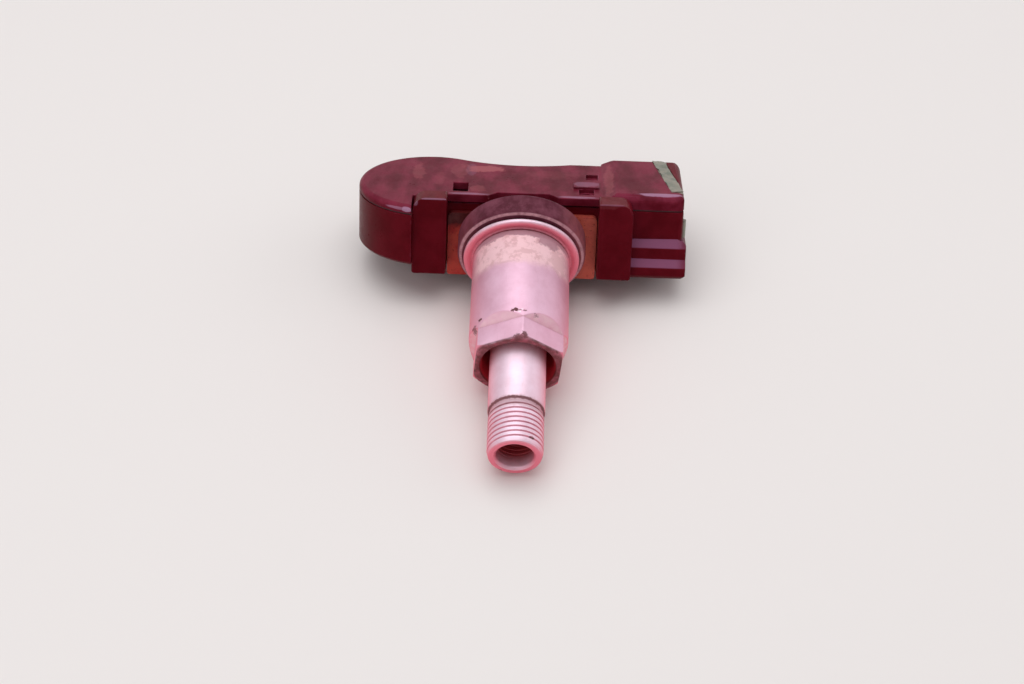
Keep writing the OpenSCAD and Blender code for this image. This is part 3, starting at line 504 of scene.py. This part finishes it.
# %% Stem and washer
finish, r, shader, vector, metal, grime = satin_aluminium(
    "turned_aluminium", colour=rgb(250, 226, 242), tarnish=rgb(238, 206, 222))
stained, bore_shade_tint = rgb(176, 124, 128), rgb(190, 66, 74)
z = r.along(vector, "Z")
run_out = band(r, z, 28.9, 30.2, soft=0.5, wave=0.5, vector=vector, grain=1.4)
metal = r.blend(r.math("MULTIPLY", run_out, 0.45), metal, stained)
grime = r.math("MULTIPLY", grime, r.fade(z, 30.0, 31.0, 0.8, 0.5))
ring_line = band(r, z, 28.85, 29.05, soft=0.1, wave=0.3, vector=vector, grain=2.6)
grime = r.math("MAXIMUM", grime, r.math("MULTIPLY", ring_line, 0.8))
# Painted shade with a red cast inside the bore, stronger deeper in.
within_bore = r.fade(r.from_axis(vector), 2.7, 2.9, 1.0, 0.0)
deep_in = r.fade(z, 33.6, 36.0, 0.95, 0.15)
metal = r.blend(r.math("MULTIPLY", within_bore, deep_in), metal, bore_shade_tint)
grime = add_marks(r, vector, grime, [((2.2, 3.1, 35.4), (0.45, 0.5, 0.22), 0.5, 0.95),
                                     ((-2.1, -3.1, TIP), (0.5, 0.4, 0.25), 0.4, 0.6)])
finish_aluminium("turned_aluminium", finish, r, shader, vector, metal, run_out, grime)

# %% Foot of the collar nut
finish, r, shader, vector, metal, grime = satin_aluminium(
    "nut_aluminium", colour=rgb(240, 198, 220), tarnish=rgb(226, 178, 200))
chalk_colour, sand_colour, skin_colour = rgb(248, 210, 210), rgb(190, 134, 138), rgb(168, 122, 136)
slope_colour, highlight_metal, mouth_shade_tint = rgb(240, 200, 208), rgb(255, 240, 246), rgb(170, 34, 48)
y, z = r.along(vector, "Y"), r.along(vector, "Z")
radius = r.from_axis(vector)
top_side = r.fade(y, 0.5, 4.5)
chalk = band(r, z, 1.7, 6.1, soft=1.8, wave=1.3, vector=vector, grain=0.5)
chalk = r.math("MULTIPLY", chalk, top_side)
metal = r.blend(r.math("MULTIPLY", chalk, 0.7), metal, chalk_colour)
sandy = r.math("MULTIPLY", chalk, r.fade(r.noise(vector, 0.8, 5.0, 0.7), 0.47, 0.62))
sandy = add_marks(r, vector, sandy, [
    ((5.2, 4.6, 5.0), (1.6, 2.0, 2.2), 0.8, 0.7), ((0.6, 6.9, 5.0), (1.6, 0.8, 0.5), 0.9, 0.8),
    ((-2.4, 6.5, 6.9), (2.6, 1.0, 0.22), 0.8, 0.5)], grain=1.2)
metal = r.blend(r.math("MULTIPLY", sandy, 0.4), metal, sand_colour)
skin = band(r, z, 0.0, 1.75, soft=0.35, wave=0.8, vector=vector, grain=0.8)
skin = add_marks(r, vector, skin, [((3.9, 5.8, 2.2), (2.1, 1.7, 1.3), 0.5, 0.9),
                                   ((-4.4, 5.4, 1.6), (1.8, 1.4, 0.9), 0.6, 0.8)], grain=1.1)
skin = r.math("MULTIPLY", skin, top_side)
metal = r.blend(r.math("MULTIPLY", skin, 0.85), metal, skin_colour)
print("foot of the nut: chalk, sand and skin")

# %% Hexagon of the nut
within_corners = r.fade(radius, 6.85, 6.97, 1.0, 0.0)
slope = r.math("MULTIPLY", band(r, z, HEX_START, 17.1, soft=0.05), within_corners)
cloudy = r.fade(r.noise(vector, 1.2, 5.0, 0.65), 0.3, 0.65, 0.35, 1.0)
slope_dust = r.math("MULTIPLY", slope, cloudy)
metal = r.blend(r.math("MULTIPLY", slope_dust, 0.7), metal, slope_colour)
rubbed = use_group(r, "rubbed", vector, reach=0.3, grain=1.5, amount=1.2)
# The rubbed edges from the hexagon outwards and the burrs by the nicks are painted near white: edge
# wear, and painted highlights.
edge_wear_highlight = r.math("MULTIPLY", rubbed, r.fade(z, 14.4, 14.8))
burr_highlight = add_marks(r, vector, edge_wear_highlight, [
    ((-0.05, 7.0, 16.35), (0.3, 0.4, 0.16), 0.9, 1.0),
    ((0.35, 7.0, 15.95), (0.22, 0.4, 0.12), 0.9, 0.9)], grain=3.6)
metal = r.blend(r.math("MULTIPLY", burr_highlight, 0.8), metal, highlight_metal)
# Painted shade: the nut's end face is darkened in blotches and joins the dirt mask.
blotches = r.fade(r.noise(vector, 1.1, 5.0, 0.65), 0.25, 0.6, 0.5, 0.92)
end_face_shade = r.math("MULTIPLY", r.fade(z, 20.25, 20.5), blotches)
grime = r.math("MAXIMUM", grime, end_face_shade)
# Painted shade: the nut's bore, seen at its mouth, is dark red.
inside = r.fade(radius, 5.36, 5.44, 1.0, 0.0)
metal = r.blend(inside, metal, mouth_shade_tint)
grime = add_marks(r, vector, grime, [
    ((-0.95, 7.0, 16.15), (0.3, 0.4, 0.26), 1.0, 0.9),
    ((-0.55, 7.0, 16.05), (0.34, 0.4, 0.3), 1.0, 0.95),
    ((0.05, 7.0, 16.1), (0.3, 0.4, 0.12), 1.0, 0.6),
    ((0.7, 7.0, 16.15), (0.3, 0.4, 0.14), 1.0, 0.8),
    ((2.4, 6.6, 16.6), (0.5, 0.5, 0.3), 1.0, 0.5),
    ((-5.5, 4.4, 16.0), (0.3, 0.5, 0.3), 0.8, 0.95),
    ((-6.3, 3.0, 16.9), (0.5, 0.9, 0.8), 0.9, 0.75),
    ((-6.5, 1.6, 18.6), (0.5, 0.9, 0.9), 0.8, 0.6),
    ((-0.4, 6.9, 20.35), (0.8, 0.8, 0.3), 1.0, 0.8),
    ((0.9, 6.9, 20.2), (0.5, 0.8, 0.5), 1.1, 0.85)], grain=3.6)
dry = r.math("MAXIMUM", r.math("MAXIMUM", chalk, skin), r.math("MULTIPLY", inside, 1.8))
dry = r.math("MAXIMUM", dry, slope_dust)
finish_aluminium("nut_aluminium", finish, r, shader, vector, metal, dry, grime)
print("aluminium ready")

# %% [markdown]
# ## Rubber, sealant and browned steel
#
# The grommet is soft rubber, rubbed pale round its front edge, and its sides are painted paler and
# warmer as a painted reflection. The green compound is cured sealant with a slightly wavy skin,
# painted dark as shade where it lies in a seam. The little plate on the front wall was zinc plated
# and has browned to orange, with a dark upper part.

# %% Rubber of the grommet
finish, r, shader, vector = new_finish("seal_rubber", "valve")
dark_rubber, light_rubber = rgb(82, 26, 42), rgb(104, 44, 64)
dust_colour, side_reflection_colour, line_colour = rgb(160, 100, 112), rgb(160, 84, 88), rgb(196, 142, 152)
x, z = r.along(vector, "X"), r.along(vector, "Z")
front_line = r.math("MULTIPLY", r.fade(z, -0.56, -0.4), r.fade(r.from_axis(vector), 8.6, 8.72))
flecks = r.fade(r.noise(vector, 1.2, 4.0, 0.6), 0.3, 0.66, 0.5, 0.95)
rubber_dust = use_group(r, "dust", vector, amount=0.22, grain=0.5, corner=1.5)
mottle = use_group(r, "patches", vector, grain=0.5, cover=0.5, soft=0.2)
colour = r.blend(rubber_dust, r.blend(mottle, dark_rubber, light_rubber), dust_colour)
# Painted reflection: the grommet's sides, the right one most, are paler and warmer.
reflected_sides = r.math("MAXIMUM", r.fade(x, 4.5, 8.5, 0.0, 0.6), r.fade(x, -8.5, -5.5, 0.25, 0.0))
colour = r.blend(r.math("MULTIPLY", reflected_sides, flecks), colour, side_reflection_colour)
colour = r.blend(r.math("MULTIPLY", front_line, flecks), colour, line_colour)
r.feed(shader.inputs["Base Color"], colour)
r.feed(shader.inputs["Roughness"], r.fade(flecks, 0.0, 1.0, 0.48, 0.66))
shader.inputs["Specular IOR Level"].default_value = 0.2
relief(r, shader, use_group(r, "fine grain", vector, grain=3.0), strength=0.4, depth_mm=0.06)
finishes["seal_rubber"] = finish

# %% Green sealant
finish, r, shader, vector = new_finish("green_sealant", "housing")
milky = use_group(r, "patches", vector, grain=0.6, cover=0.5, soft=0.25)
colour = r.blend(milky, rgb(112, 116, 104), rgb(144, 144, 130))
x, z = r.along(vector, "X"), r.along(vector, "Z")
# Painted shade: where the compound lies in the seam, it takes the dark maroon of the shaded gap.
open_part = r.math("MAXIMUM", r.fade(z, 7.15, 7.4), r.fade(x, 23.55, 23.7))
seam_shade, dirt_colour, dust_colour = rgb(58, 8, 16), rgb(96, 74, 66), rgb(172, 146, 138)
dirt = use_group(r, "grime", vector, reach=0.6, grain=1.5, amount=1.2)
dust = use_group(r, "dust", vector, amount=0.35, grain=0.6, corner=0.8)
colour = r.blend(dust, r.blend(dirt, colour, dirt_colour), dust_colour)
r.feed(shader.inputs["Base Color"], r.blend(open_part, seam_shade, colour))
r.feed(shader.inputs["Roughness"], r.fade(milky, 0.0, 1.0, 0.36, 0.58))
relief(r, shader, r.noise(vector, 1.6, 3.0, 0.5), strength=0.5, depth_mm=0.12)
finishes["green_sealant"] = finish

# %% Browned steel plate
finish, r, shader, vector = new_finish("rusty_steel", "housing")
rust = use_group(r, "patches", vector, grain=0.45, cover=0.55, soft=0.18)
pits = r.fade(r.noise(vector, 2.8, 5.0, 0.7), 0.55, 0.72)
left_side = r.blend(rust, rgb(170, 36, 36), rgb(198, 60, 42))
right_side = r.blend(rust, rgb(190, 78, 72), rgb(208, 92, 72))
pit_colour, shade_colour, dirt_colour = rgb(84, 20, 24), rgb(70, 10, 18), rgb(90, 20, 24)
x, z = r.along(vector, "X"), r.along(vector, "Z")
colour = r.blend(r.fade(x, 0.0, 8.0), left_side, right_side)
colour = r.blend(r.math("MULTIPLY", pits, 0.7), colour, pit_colour)
wavy = r.math("ADD", z, r.math("MULTIPLY", r.noise(vector, 0.9, 4.0, 0.6), 1.6))
shaded = r.fade(r.math("SUBTRACT", wavy, r.fade(x, -8.0, 8.0, 0.0, 2.4)), 2.6, 3.6)
colour = r.blend(r.math("MULTIPLY", shaded, 0.9), colour, shade_colour)
dirt = use_group(r, "grime", vector, reach=1.2, grain=0.9, amount=0.8)
r.feed(shader.inputs["Base Color"], r.blend(dirt, colour, dirt_colour))
r.feed(shader.inputs["Metallic"], r.fade(rust, 0.0, 1.0, 0.45, 0.15))
r.feed(shader.inputs["Roughness"], r.fade(pits, 0.0, 1.0, 0.42, 0.75))
scale = r.math("SUBTRACT", r.noise(vector, 2.0, 5.0, 0.6), r.math("MULTIPLY", pits, 0.5))
relief(r, shader, scale, strength=0.5, depth_mm=0.08)
finishes["rusty_steel"] = finish
print("rubber, sealant and plate ready")

# %% [markdown]
# ## Finishes inside the housing
#
# Nobody sees the electronics while the cover is on, but the part may be taken apart or cut open, so
# each inner piece has a finish too. They are clean, with one pattern each: a brushed line on metal,
# a weave under the board's green skin, windings on the coil.

# %% Inner finishes
def inner_finish(slot, low, high, grain, stretch, rough, metal=0.0, ruler="housing"):
    """A two-tone finish with one stretched pattern, for the pieces inside."""
    finish, r, shader, vector = new_finish(slot, ruler)
    pattern = r.noise(r.stretched(vector, stretch), grain, 4.0, 0.6)
    r.feed(shader.inputs["Base Color"], r.blend(r.fade(pattern, 0.3, 0.7), rgb(*low), rgb(*high)))
    r.feed(shader.inputs["Roughness"], r.fade(pattern, 0.25, 0.75, *rough))
    shader.inputs["Metallic"].default_value = metal
    relief(r, shader, pattern, strength=0.25, depth_mm=0.03)
    finishes[slot] = finish


EVEN = (1, 1, 1)
inner_finish("screw_steel", (150, 146, 146), (186, 180, 178), 2.0, (1, 1, 3), (0.28, 0.45), 0.95,
             ruler="valve")
inner_finish("cell_steel", (176, 176, 180), (206, 206, 208), 1.5, (1, 1, 6), (0.2, 0.34), 1.0)
inner_finish("tab_nickel", (186, 182, 168), (214, 210, 196), 1.5, (6, 0.6, 1), (0.22, 0.36), 1.0)
inner_finish("felt", (52, 52, 58), (84, 84, 92), 6.0, EVEN, (0.85, 0.98))
inner_finish("board_laminate", (16, 74, 40), (34, 108, 58), 4.0, (1, 1, 0.2), (0.24, 0.4))
inner_finish("sensor_can", (126, 126, 132), (160, 160, 166), 3.0, (4, 0.5, 1), (0.25, 0.42), 0.9)
inner_finish("soft_tube", (46, 46, 52), (70, 70, 78), 3.0, EVEN, (0.5, 0.7))
inner_finish("membrane", (214, 214, 208), (238, 238, 232), 8.0, EVEN, (0.7, 0.9))
inner_finish("chip_resin", (26, 26, 28), (44, 44, 47), 7.0, EVEN, (0.4, 0.6))
inner_finish("ferrite", (40, 38, 40), (66, 62, 64), 5.0, EVEN, (0.5, 0.75))
inner_finish("copper", (150, 78, 40), (214, 132, 78), 3.0, (9, 0.3, 0.3), (0.2, 0.36), 0.9)
inner_finish("antenna_brass", (178, 144, 78), (214, 182, 112), 1.5, (5, 0.6, 1), (0.24, 0.4), 1.0)
inner_finish("chip_ceramic", (140, 108, 80), (182, 150, 118), 2.5, EVEN, (0.35, 0.55))
print(len(finishes), "finishes")

# %% [markdown]
# ## Finishes onto the CAD nodes
#
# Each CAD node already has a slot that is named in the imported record. Its material is swapped for
# the finish of the same name, and the mesh isn't touched.

# %% Dress the CAD nodes
slot_of = {part["node"]: part["material_slot"] for part in frame["record"]["subparts"]}
for node_name, node in frame["nodes"].items():
    for place in range(len(node.material_slots)):
        node.material_slots[place].material = finishes[slot_of[node_name]]
print("dressed", len(frame["nodes"]), "CAD nodes")

# %% [markdown]
# ## Calls for modelling
#
# A lathe makes round pieces, and so does this lesson: one vertex is drawn out along the outline
# step by step, and the outline is spun round the axis. A screw thread is one tooth's outline that
# climbs while it turns, which is what the Screw modifier does. Both are drawn on the z axis and
# moved onto the real stem when they are done.

# %% Lathe and thread helpers
def pick_only(*pieces):
    """Selects these pieces and nothing else, and makes the first one active."""
    if bpy.context.object and bpy.context.object.mode != "OBJECT":
        bpy.ops.object.mode_set(mode="OBJECT")
    bpy.ops.object.select_all(action="DESELECT")
    for piece in pieces:
        piece.select_set(True)
    bpy.context.view_layer.objects.active = pieces[0]


def drawn_outline(name, points, closed=True):
    """Draws (radius, along) points in mm as a chain of edges, from a plane merged to a dot."""
    bpy.ops.object.select_all(action="DESELECT")
    radius, along = points[0]
    bpy.ops.mesh.primitive_plane_add(size=MM, location=(radius * MM, 0, along * MM))
    piece = bpy.context.object
    piece.name = name
    bpy.ops.object.mode_set(mode="EDIT")
    bpy.ops.mesh.select_all(action="SELECT")
    bpy.ops.mesh.merge(type="CENTER")
    for (r0, a0), (r1, a1) in zip(points, points[1:] + (points[:1] if closed else [])):
        step = ((r1 - r0) * MM, 0, (a1 - a0) * MM)
        bpy.ops.mesh.extrude_vertices_move(TRANSFORM_OT_translate={"value": step})
    bpy.ops.mesh.select_all(action="SELECT")
    bpy.ops.mesh.remove_doubles(threshold=1e-6)
    bpy.ops.object.mode_set(mode="OBJECT")
    bpy.ops.object.transform_apply(location=True, rotation=True, scale=True)
    return piece


SMOOTH_BELOW = 35    # degrees between two faces that still look like one curve


def closed_up(piece, angle=30):
    """Merges doubles, turns the faces outwards and smooths all edges below an angle in degrees."""
    pick_only(piece)
    bpy.ops.object.mode_set(mode="EDIT")
    bpy.ops.mesh.select_all(action="SELECT")
    bpy.ops.mesh.remove_doubles(threshold=5e-7)
    bpy.ops.mesh.normals_make_consistent(inside=False)
    bpy.ops.object.mode_set(mode="OBJECT")
    bpy.ops.object.shade_smooth_by_angle(angle=math.radians(angle))
    return piece


def turned(name, points, steps=96, closed=True):
    """A solid spun from its outline of (radius, along) points in mm. An outline that starts and
    ends on the axis needs no line back and isn't closed."""
    piece = drawn_outline(name, points, closed)
    bpy.ops.object.mode_set(mode="EDIT")
    bpy.ops.mesh.select_all(action="SELECT")
    bpy.ops.mesh.spin(steps=steps, angle=math.tau, center=(0, 0, 0), axis=(0, 0, 1))
    bpy.ops.object.mode_set(mode="OBJECT")
    return closed_up(piece)


STEPS_A_TURN = 72    # how finely a thread is stepped
SPARE_TURNS = 2    # drawn past each end, and cut off
OFF_THE_STEPS = 0.011    # keeps a cut clear of the thread's own corners, in mm


def threaded(name, root, crest, pitch, start, end, worn=0.5):
    """A solid rod with a 60 degree thread, in mm, cut flat at its start and end. Worn is the
    crest's share of the flat parts."""
    flank = (crest - root) * math.tan(math.radians(60 / 2))
    valley = (pitch - 2 * flank) * (1 - worn)
    begin = start - SPARE_TURNS * pitch
    tooth = [(root, begin), (root, begin + valley), (crest, begin + valley + flank),
             (crest, begin + pitch - flank), (root, begin + pitch)]
    piece = drawn_outline(name, tooth, closed=False)
    climb = piece.modifiers.new("climb", "SCREW")
    climb.screw_offset = pitch * MM
    climb.iterations = math.ceil((end - start) / pitch) + 2 * SPARE_TURNS
    climb.steps = climb.render_steps = STEPS_A_TURN
    bpy.ops.object.modifier_apply(modifier="climb")
    closed_up(piece)
    for height, side in ((start + OFF_THE_STEPS, -1), (end - OFF_THE_STEPS, 1)):
        bpy.ops.object.mode_set(mode="EDIT")
        bpy.ops.mesh.select_all(action="SELECT")
        bpy.ops.mesh.bisect(plane_co=(0, 0, height * MM), plane_no=(0, 0, side),
                            use_fill=True, clear_outer=True, threshold=1e-7)
        bpy.ops.object.mode_set(mode="OBJECT")
    return closed_up(piece)


def carve(piece, tool, operation="DIFFERENCE"):
    """Cuts, joins or trims a piece with a tool, which is used up."""
    pick_only(piece)
    step = piece.modifiers.new("carve", "BOOLEAN")
    step.operation = operation
    step.object = tool
    step.solver = "EXACT"
    bpy.ops.object.modifier_apply(modifier="carve")
    bpy.data.objects.remove(tool)


def onto_valve(piece):
    """Moves a finished piece from the drawing's axis onto the real stem, into its mesh."""
    pick_only(piece)
    piece.matrix_world = valve_place
    bpy.ops.object.transform_apply(location=True, rotation=True, scale=True)


def fit_out(piece, body, slot, *replaced):
    """Gives a piece its finish and its body, and hides the CAD nodes that it stands for."""
    piece.data.materials.clear()
    piece.data.materials.append(finishes[slot])
    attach(piece, body)
    if replaced:
        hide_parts(*replaced)
    print(piece.name, len(piece.data.polygons), "faces")


# %% [markdown]
# ## The threaded stem
#
# The stem is a hollow aluminium tube. The valve cap screws on its tip, the collar nut on its foot,
# and the valve core would screw into the bore, but it is missing here. The CAD has plain cylinders
# for the threads. Here the tube is turned first, then two threaded rods are joined to it, and last
# the bore is cut with a tool that carries a faint thread of its own. A thread's ends are trimmed to
# cones first, and the trim runs on into the tube, so that no flat end lies on the tube's surface.

# %% Stem
stem = turned("threaded_stem", [
    (0, -5.8), (3.25, -5.8), (3.25, -3.8), (3.95, -3.8), (3.95, 0), (4.3, 0.9), (4.3, 12.4),
    (3.95, 12.75), (3.95, 28.75), (3.9, 28.85), (3.72, 28.98), (3.6, 29.3), (3.55, 29.6),
    (3.55, 35.5), (3.2, 36.2), (0, 36.2)], closed=False)
cap_thread = threaded("cap_thread", root=3.65, crest=3.85, pitch=0.794, start=CAP_START, end=TIP,
                      worn=0.85)
cap_trim = turned("trim", [
    (0, 29.0), (3.5, 29.0), (3.95, 30.1), (3.95, 35.3), (3.84, 35.5), (3.78, 35.8), (3.70, 36.12),
    (3.60, 36.3), (3.44, 36.38), (3.3, TIP), (0, TIP)], closed=False)
carve(cap_thread, cap_trim, "INTERSECT")
clamp_thread = threaded("clamp_thread", root=4.36, crest=4.9, pitch=1.0, start=0.9, end=12.75)
clamp_trim = turned("trim", [
    (0, 0.95), (4.2, 0.95), (4.95, 1.7), (4.95, 12.05), (3.4, 12.7), (0, 12.7)], closed=False)
carve(clamp_thread, clamp_trim, "INTERSECT")
carve(stem, cap_thread, "UNION")
carve(stem, clamp_thread, "UNION")
print("stem with threads:", len(stem.data.polygons), "faces")

# %% Bore of the stem
bore = turned("bore", [
    (0, -6.0), (2.1, -6.0), (2.1, 2.2), (1.5, 2.2), (1.5, 28.3), (2.56, 29.9), (2.56, 30.4),
    (2.42, 30.5), (2.42, 34.3), (2.56, 34.4), (2.56, 35.95), (2.6, 36.1), (2.72, 36.26),
    (2.9, 36.38), (3.1, 36.6), (0, 36.6)], closed=False)
core_thread = threaded("core_thread", root=2.55, crest=2.62, pitch=0.706, start=30.2, end=34.6)
carve(bore, core_thread, "UNION")
carve(stem, bore)
closed_up(stem, SMOOTH_BELOW)
onto_valve(stem)
fit_out(stem, "sensor", "turned_aluminium", "valve_stem")

# %% [markdown]
# ## The pressed washer
#
# The washer is stamped from sheet, so its rim is rolled over and its face dips a little where the
# nut bears on it. Both show as soft bands of light, which a flat disc can't give.

# %% Washer
washer = turned("pressed_washer", [
    (5.2, 0.02), (5.25, 0), (8.12, 0), (8.28, 0.05), (8.37, 0.14), (8.4, 0.28), (8.4, 0.42),
    (8.36, 0.54), (8.27, 0.65), (8.1, 0.72), (7.85, 0.75), (7.6, 0.74), (7.42, 0.69), (7.28, 0.67),
    (7.14, 0.68), (7.04, 0.74), (6.9, 0.75), (5.3, 0.75), (5.2, 0.7)], steps=128)
onto_valve(washer)
fit_out(washer, "washer", "turned_aluminium", "seat_washer")

# %% [markdown]
# ## Eased edges on the moulded and milled pieces
#
# The CAD's corners are perfectly sharp where the real ones are rounded by the mould, or broken by a
# file. Such an edge never catches the light. A copy of the CAD mesh is merged, its flat triangles
# are joined into whole faces, and a small Bevel modifier rounds what is left of the sharp edges.
# Where the bevel throws a corner off the CAD's surface, the corner is pulled back onto it. Last,
# the nut is turned a little on its axis, until its top corner is as far to the right of the middle
# as the CAD has it to the left. The two places mirror each other, so it rests on the table as
# before.

# %% Eased copies
FLAT_BELOW, SHARP_ABOVE = math.radians(0.4), math.radians(28)
ASTRAY = 0.6    # a corner this share of the width off the CAD's surface was thrown there


def inside_any(boxes, corner):
    """Whether a corner lies in one of the boxes, each given by its lowest and highest corner."""
    return any(all(low < c < high for low, c, high in zip(lowest, corner, highest))
               for lowest, highest in boxes)


def eased_copy(node_name, name, width, crowded=()):
    """A copy of a CAD node, merged, with its sharp outer edges rounded by a width in mm. An edge
    that ends in a crowded box, in mm of the housing's frame, has no room and stays sharp."""
    original = frame["nodes"][node_name]
    piece = bpy.data.objects.new(name, original.data.copy())
    bpy.context.scene.collection.objects.link(piece)
    pick_only(piece)
    bpy.ops.mesh.customdata_custom_splitnormals_clear()
    bpy.ops.object.mode_set(mode="EDIT")
    bpy.ops.mesh.select_all(action="SELECT")
    bpy.ops.mesh.remove_doubles(threshold=2e-6)
    bpy.ops.mesh.dissolve_limited(angle_limit=FLAT_BELOW)
    bpy.ops.object.mode_set(mode="OBJECT")
    into_housing = cover_place.inverted()
    packed = [inside_any(crowded, into_housing @ v.co / MM) for v in piece.data.vertices]
    beside = {}
    for face in piece.data.polygons:
        for key in face.edge_keys:
            beside.setdefault(key, []).append(face)
    weights = piece.data.attributes.new("bevel_weight_edge", "FLOAT", "EDGE")
    for edge in piece.data.edges:
        one, other = beside[tuple(sorted(edge.vertices))][:2]
        sharp = one.normal.angle(other.normal, 0) > SHARP_ABOVE
        outer = one.normal.dot(other.center - one.center) < 0
        free = not any(packed[v] for v in edge.vertices)
        weights.data[edge.index].value = 1.0 if sharp and outer and free else 0.0
    ease = piece.modifiers.new("ease", "BEVEL")
    ease.width = width * MM
    ease.segments = 2
    ease.limit_method = "WEIGHT"
    ease.use_clamp_overlap = False
    ease.miter_outer = "MITER_ARC"
    bpy.ops.object.modifier_apply(modifier="ease")
    pulled = 0
    for corner in piece.data.vertices:
        found, near = original.closest_point_on_mesh(corner.co)[:2]
        if found and (corner.co - near).length > ASTRAY * width * MM:
            corner.co = near
            pulled += 1
    print(name, "corners pulled back:", pulled)
    bpy.ops.object.shade_smooth_by_angle(angle=math.radians(SMOOTH_BELOW))
    weigh = piece.modifiers.new("weigh", "WEIGHTED_NORMAL")
    weigh.keep_sharp = True
    bpy.ops.object.modifier_apply(modifier="weigh")
    return piece


# %% Tub, cover and nut
CROWDED = [((5.0, 6.9, 5.0), (11.6, 18.0, 8.5)),    # air inlet, bar and the well behind it
           ((11.2, 20.2, 6.0), (12.2, 21.6, 8.2))]    # foot of the block's ramp, rear edge
NUT_TURN = math.radians(-8.6)
tub = eased_copy("housing_base", "moulded_tub", 0.14)
fit_out(tub, "sensor", "case_plastic", "housing_base")
lid = eased_copy("housing_cover", "moulded_cover", 0.12, CROWDED)
fit_out(lid, "sensor", "cover_plastic", "housing_cover")
nut = eased_copy("collar_nut", "milled_nut", 0.1)
nut.matrix_world = valve_place @ Matrix.Rotation(NUT_TURN, 4, "Z") @ valve_place.inverted()
bpy.ops.object.transform_apply(location=True, rotation=True, scale=True)
fit_out(nut, "nut", "nut_aluminium", "collar_nut")

# %% [markdown]
# ## Nicks
#
# A spanner has slipped on the hexagon, and the tip has been knocked. Each nick is a small dent with
# its own shadow, so it is cut into the mesh rather than painted: a ball is squashed, laid half into
# the surface in the valve's frame and subtracted. The sleeve's long faces are first cut across at
# two heights, because a long face with a hole in one end catches the light in streaks.

# %% Nicks in the nut and the stem
CUTS_ACROSS = (14.6, 15.4)
NUT_NICKS = [
    ((-1.0, 7.02, 16.15), (0.26, 0.2, 0.2), 0.3), ((-0.6, 7.05, 16.0), (0.3, 0.2, 0.16), -0.2),
    ((-0.2, 7.08, 16.2), (0.22, 0.16, 0.2), 0.5), ((0.7, 7.05, 16.1), (0.3, 0.16, 0.12), -0.3),
    ((-5.55, 4.45, 16.0), (0.35, 0.35, 0.22), 0.5), ((-6.5, 2.9, 16.8), (0.3, 0.5, 0.5), 0.3),
    ((-0.5, 6.85, 20.65), (0.7, 0.25, 0.22), 0.1), ((1.2, 6.6, 20.65), (0.3, 0.25, 0.3), 0.0),
    ((-2.9, 5.75, 20.7), (0.3, 0.25, 0.2), 0.4)]
STEM_NICKS = [
    ((2.25, 3.2, 35.35), (0.4, 0.25, 0.22), 0.4), ((-2.1, -3.05, 36.5), (0.5, 0.35, 0.22), 0.3)]


def nick(piece, place, size, turn):
    """Dents a piece at a place with a squashed and turned ball, in mm in the valve's frame."""
    bpy.ops.object.select_all(action="DESELECT")
    bpy.ops.mesh.primitive_ico_sphere_add(subdivisions=2, radius=MM)
    ball = bpy.context.object
    there, turned_ball = Matrix.Translation(Vector(place) * MM), Matrix.Rotation(turn, 4, "Y")
    ball.matrix_world = valve_place @ there @ turned_ball @ Matrix.Diagonal((*size, 1.0))
    carve(piece, ball)


pick_only(nut)
bpy.ops.object.mode_set(mode="EDIT")
for height in CUTS_ACROSS:
    bpy.ops.mesh.select_all(action="SELECT")
    across = valve_place @ Vector((0, 0, height * MM))
    bpy.ops.mesh.bisect(plane_co=across, plane_no=outward, threshold=1e-7)
bpy.ops.object.mode_set(mode="OBJECT")
for piece, nicks in ((nut, NUT_NICKS), (stem, STEM_NICKS)):
    for place, size, turn in nicks:
        nick(piece, place, size, turn)
for piece in (nut, stem):
    pick_only(piece)
    bpy.ops.mesh.customdata_custom_splitnormals_clear()
    closed_up(piece, SMOOTH_BELOW)
print("nicked: nut", len(nut.data.polygons), "faces, stem", len(stem.data.polygons), "faces")

# %% [markdown]
# ## The stripe of sealant
#
# A groove on the block was filled by hand with green compound. It dried a little proud, with wavy
# edges. A block of the groove's size is cut into small faces and pushed about by a cloudy texture,
# which gives it that skin.

# %% Sealant stripe
GROOVE_MIDDLE = (21.48, 14.65, 7.94)     # mm in the housing's frame
GROOVE_SIZE = (1.75, 12.9, 0.16)
GROOVE_TURN = math.radians(10)
CUTS = 23
bpy.ops.object.select_all(action="DESELECT")
bpy.ops.mesh.primitive_cube_add(size=MM)
stripe = bpy.context.object
stripe.name = "sealant_stripe"
laid = Matrix.Translation(Vector(GROOVE_MIDDLE) * MM) @ Matrix.Rotation(GROOVE_TURN, 4, "Z")
stripe.matrix_world = cover_place @ laid @ Matrix.Diagonal((*GROOVE_SIZE, 1.0))
bpy.ops.object.transform_apply(location=True, rotation=True, scale=True)
bpy.ops.object.mode_set(mode="EDIT")
bpy.ops.mesh.select_all(action="SELECT")
bpy.ops.mesh.subdivide(number_cuts=CUTS)
bpy.ops.object.mode_set(mode="OBJECT")
cloud = bpy.data.textures.new("sealant_waves", "CLOUDS")
cloud.noise_scale = 1.3 * MM
cloud.cloud_type = "COLOR"
waves = stripe.modifiers.new("waves", "DISPLACE")
waves.texture = cloud
waves.texture_coords = "LOCAL"
waves.direction = "RGB_TO_XYZ"
waves.strength = 0.55 * MM
waves.mid_level = 0.5
bpy.ops.object.modifier_apply(modifier="waves")
closed_up(stripe, 60)
fit_out(stripe, "sensor", "green_sealant")
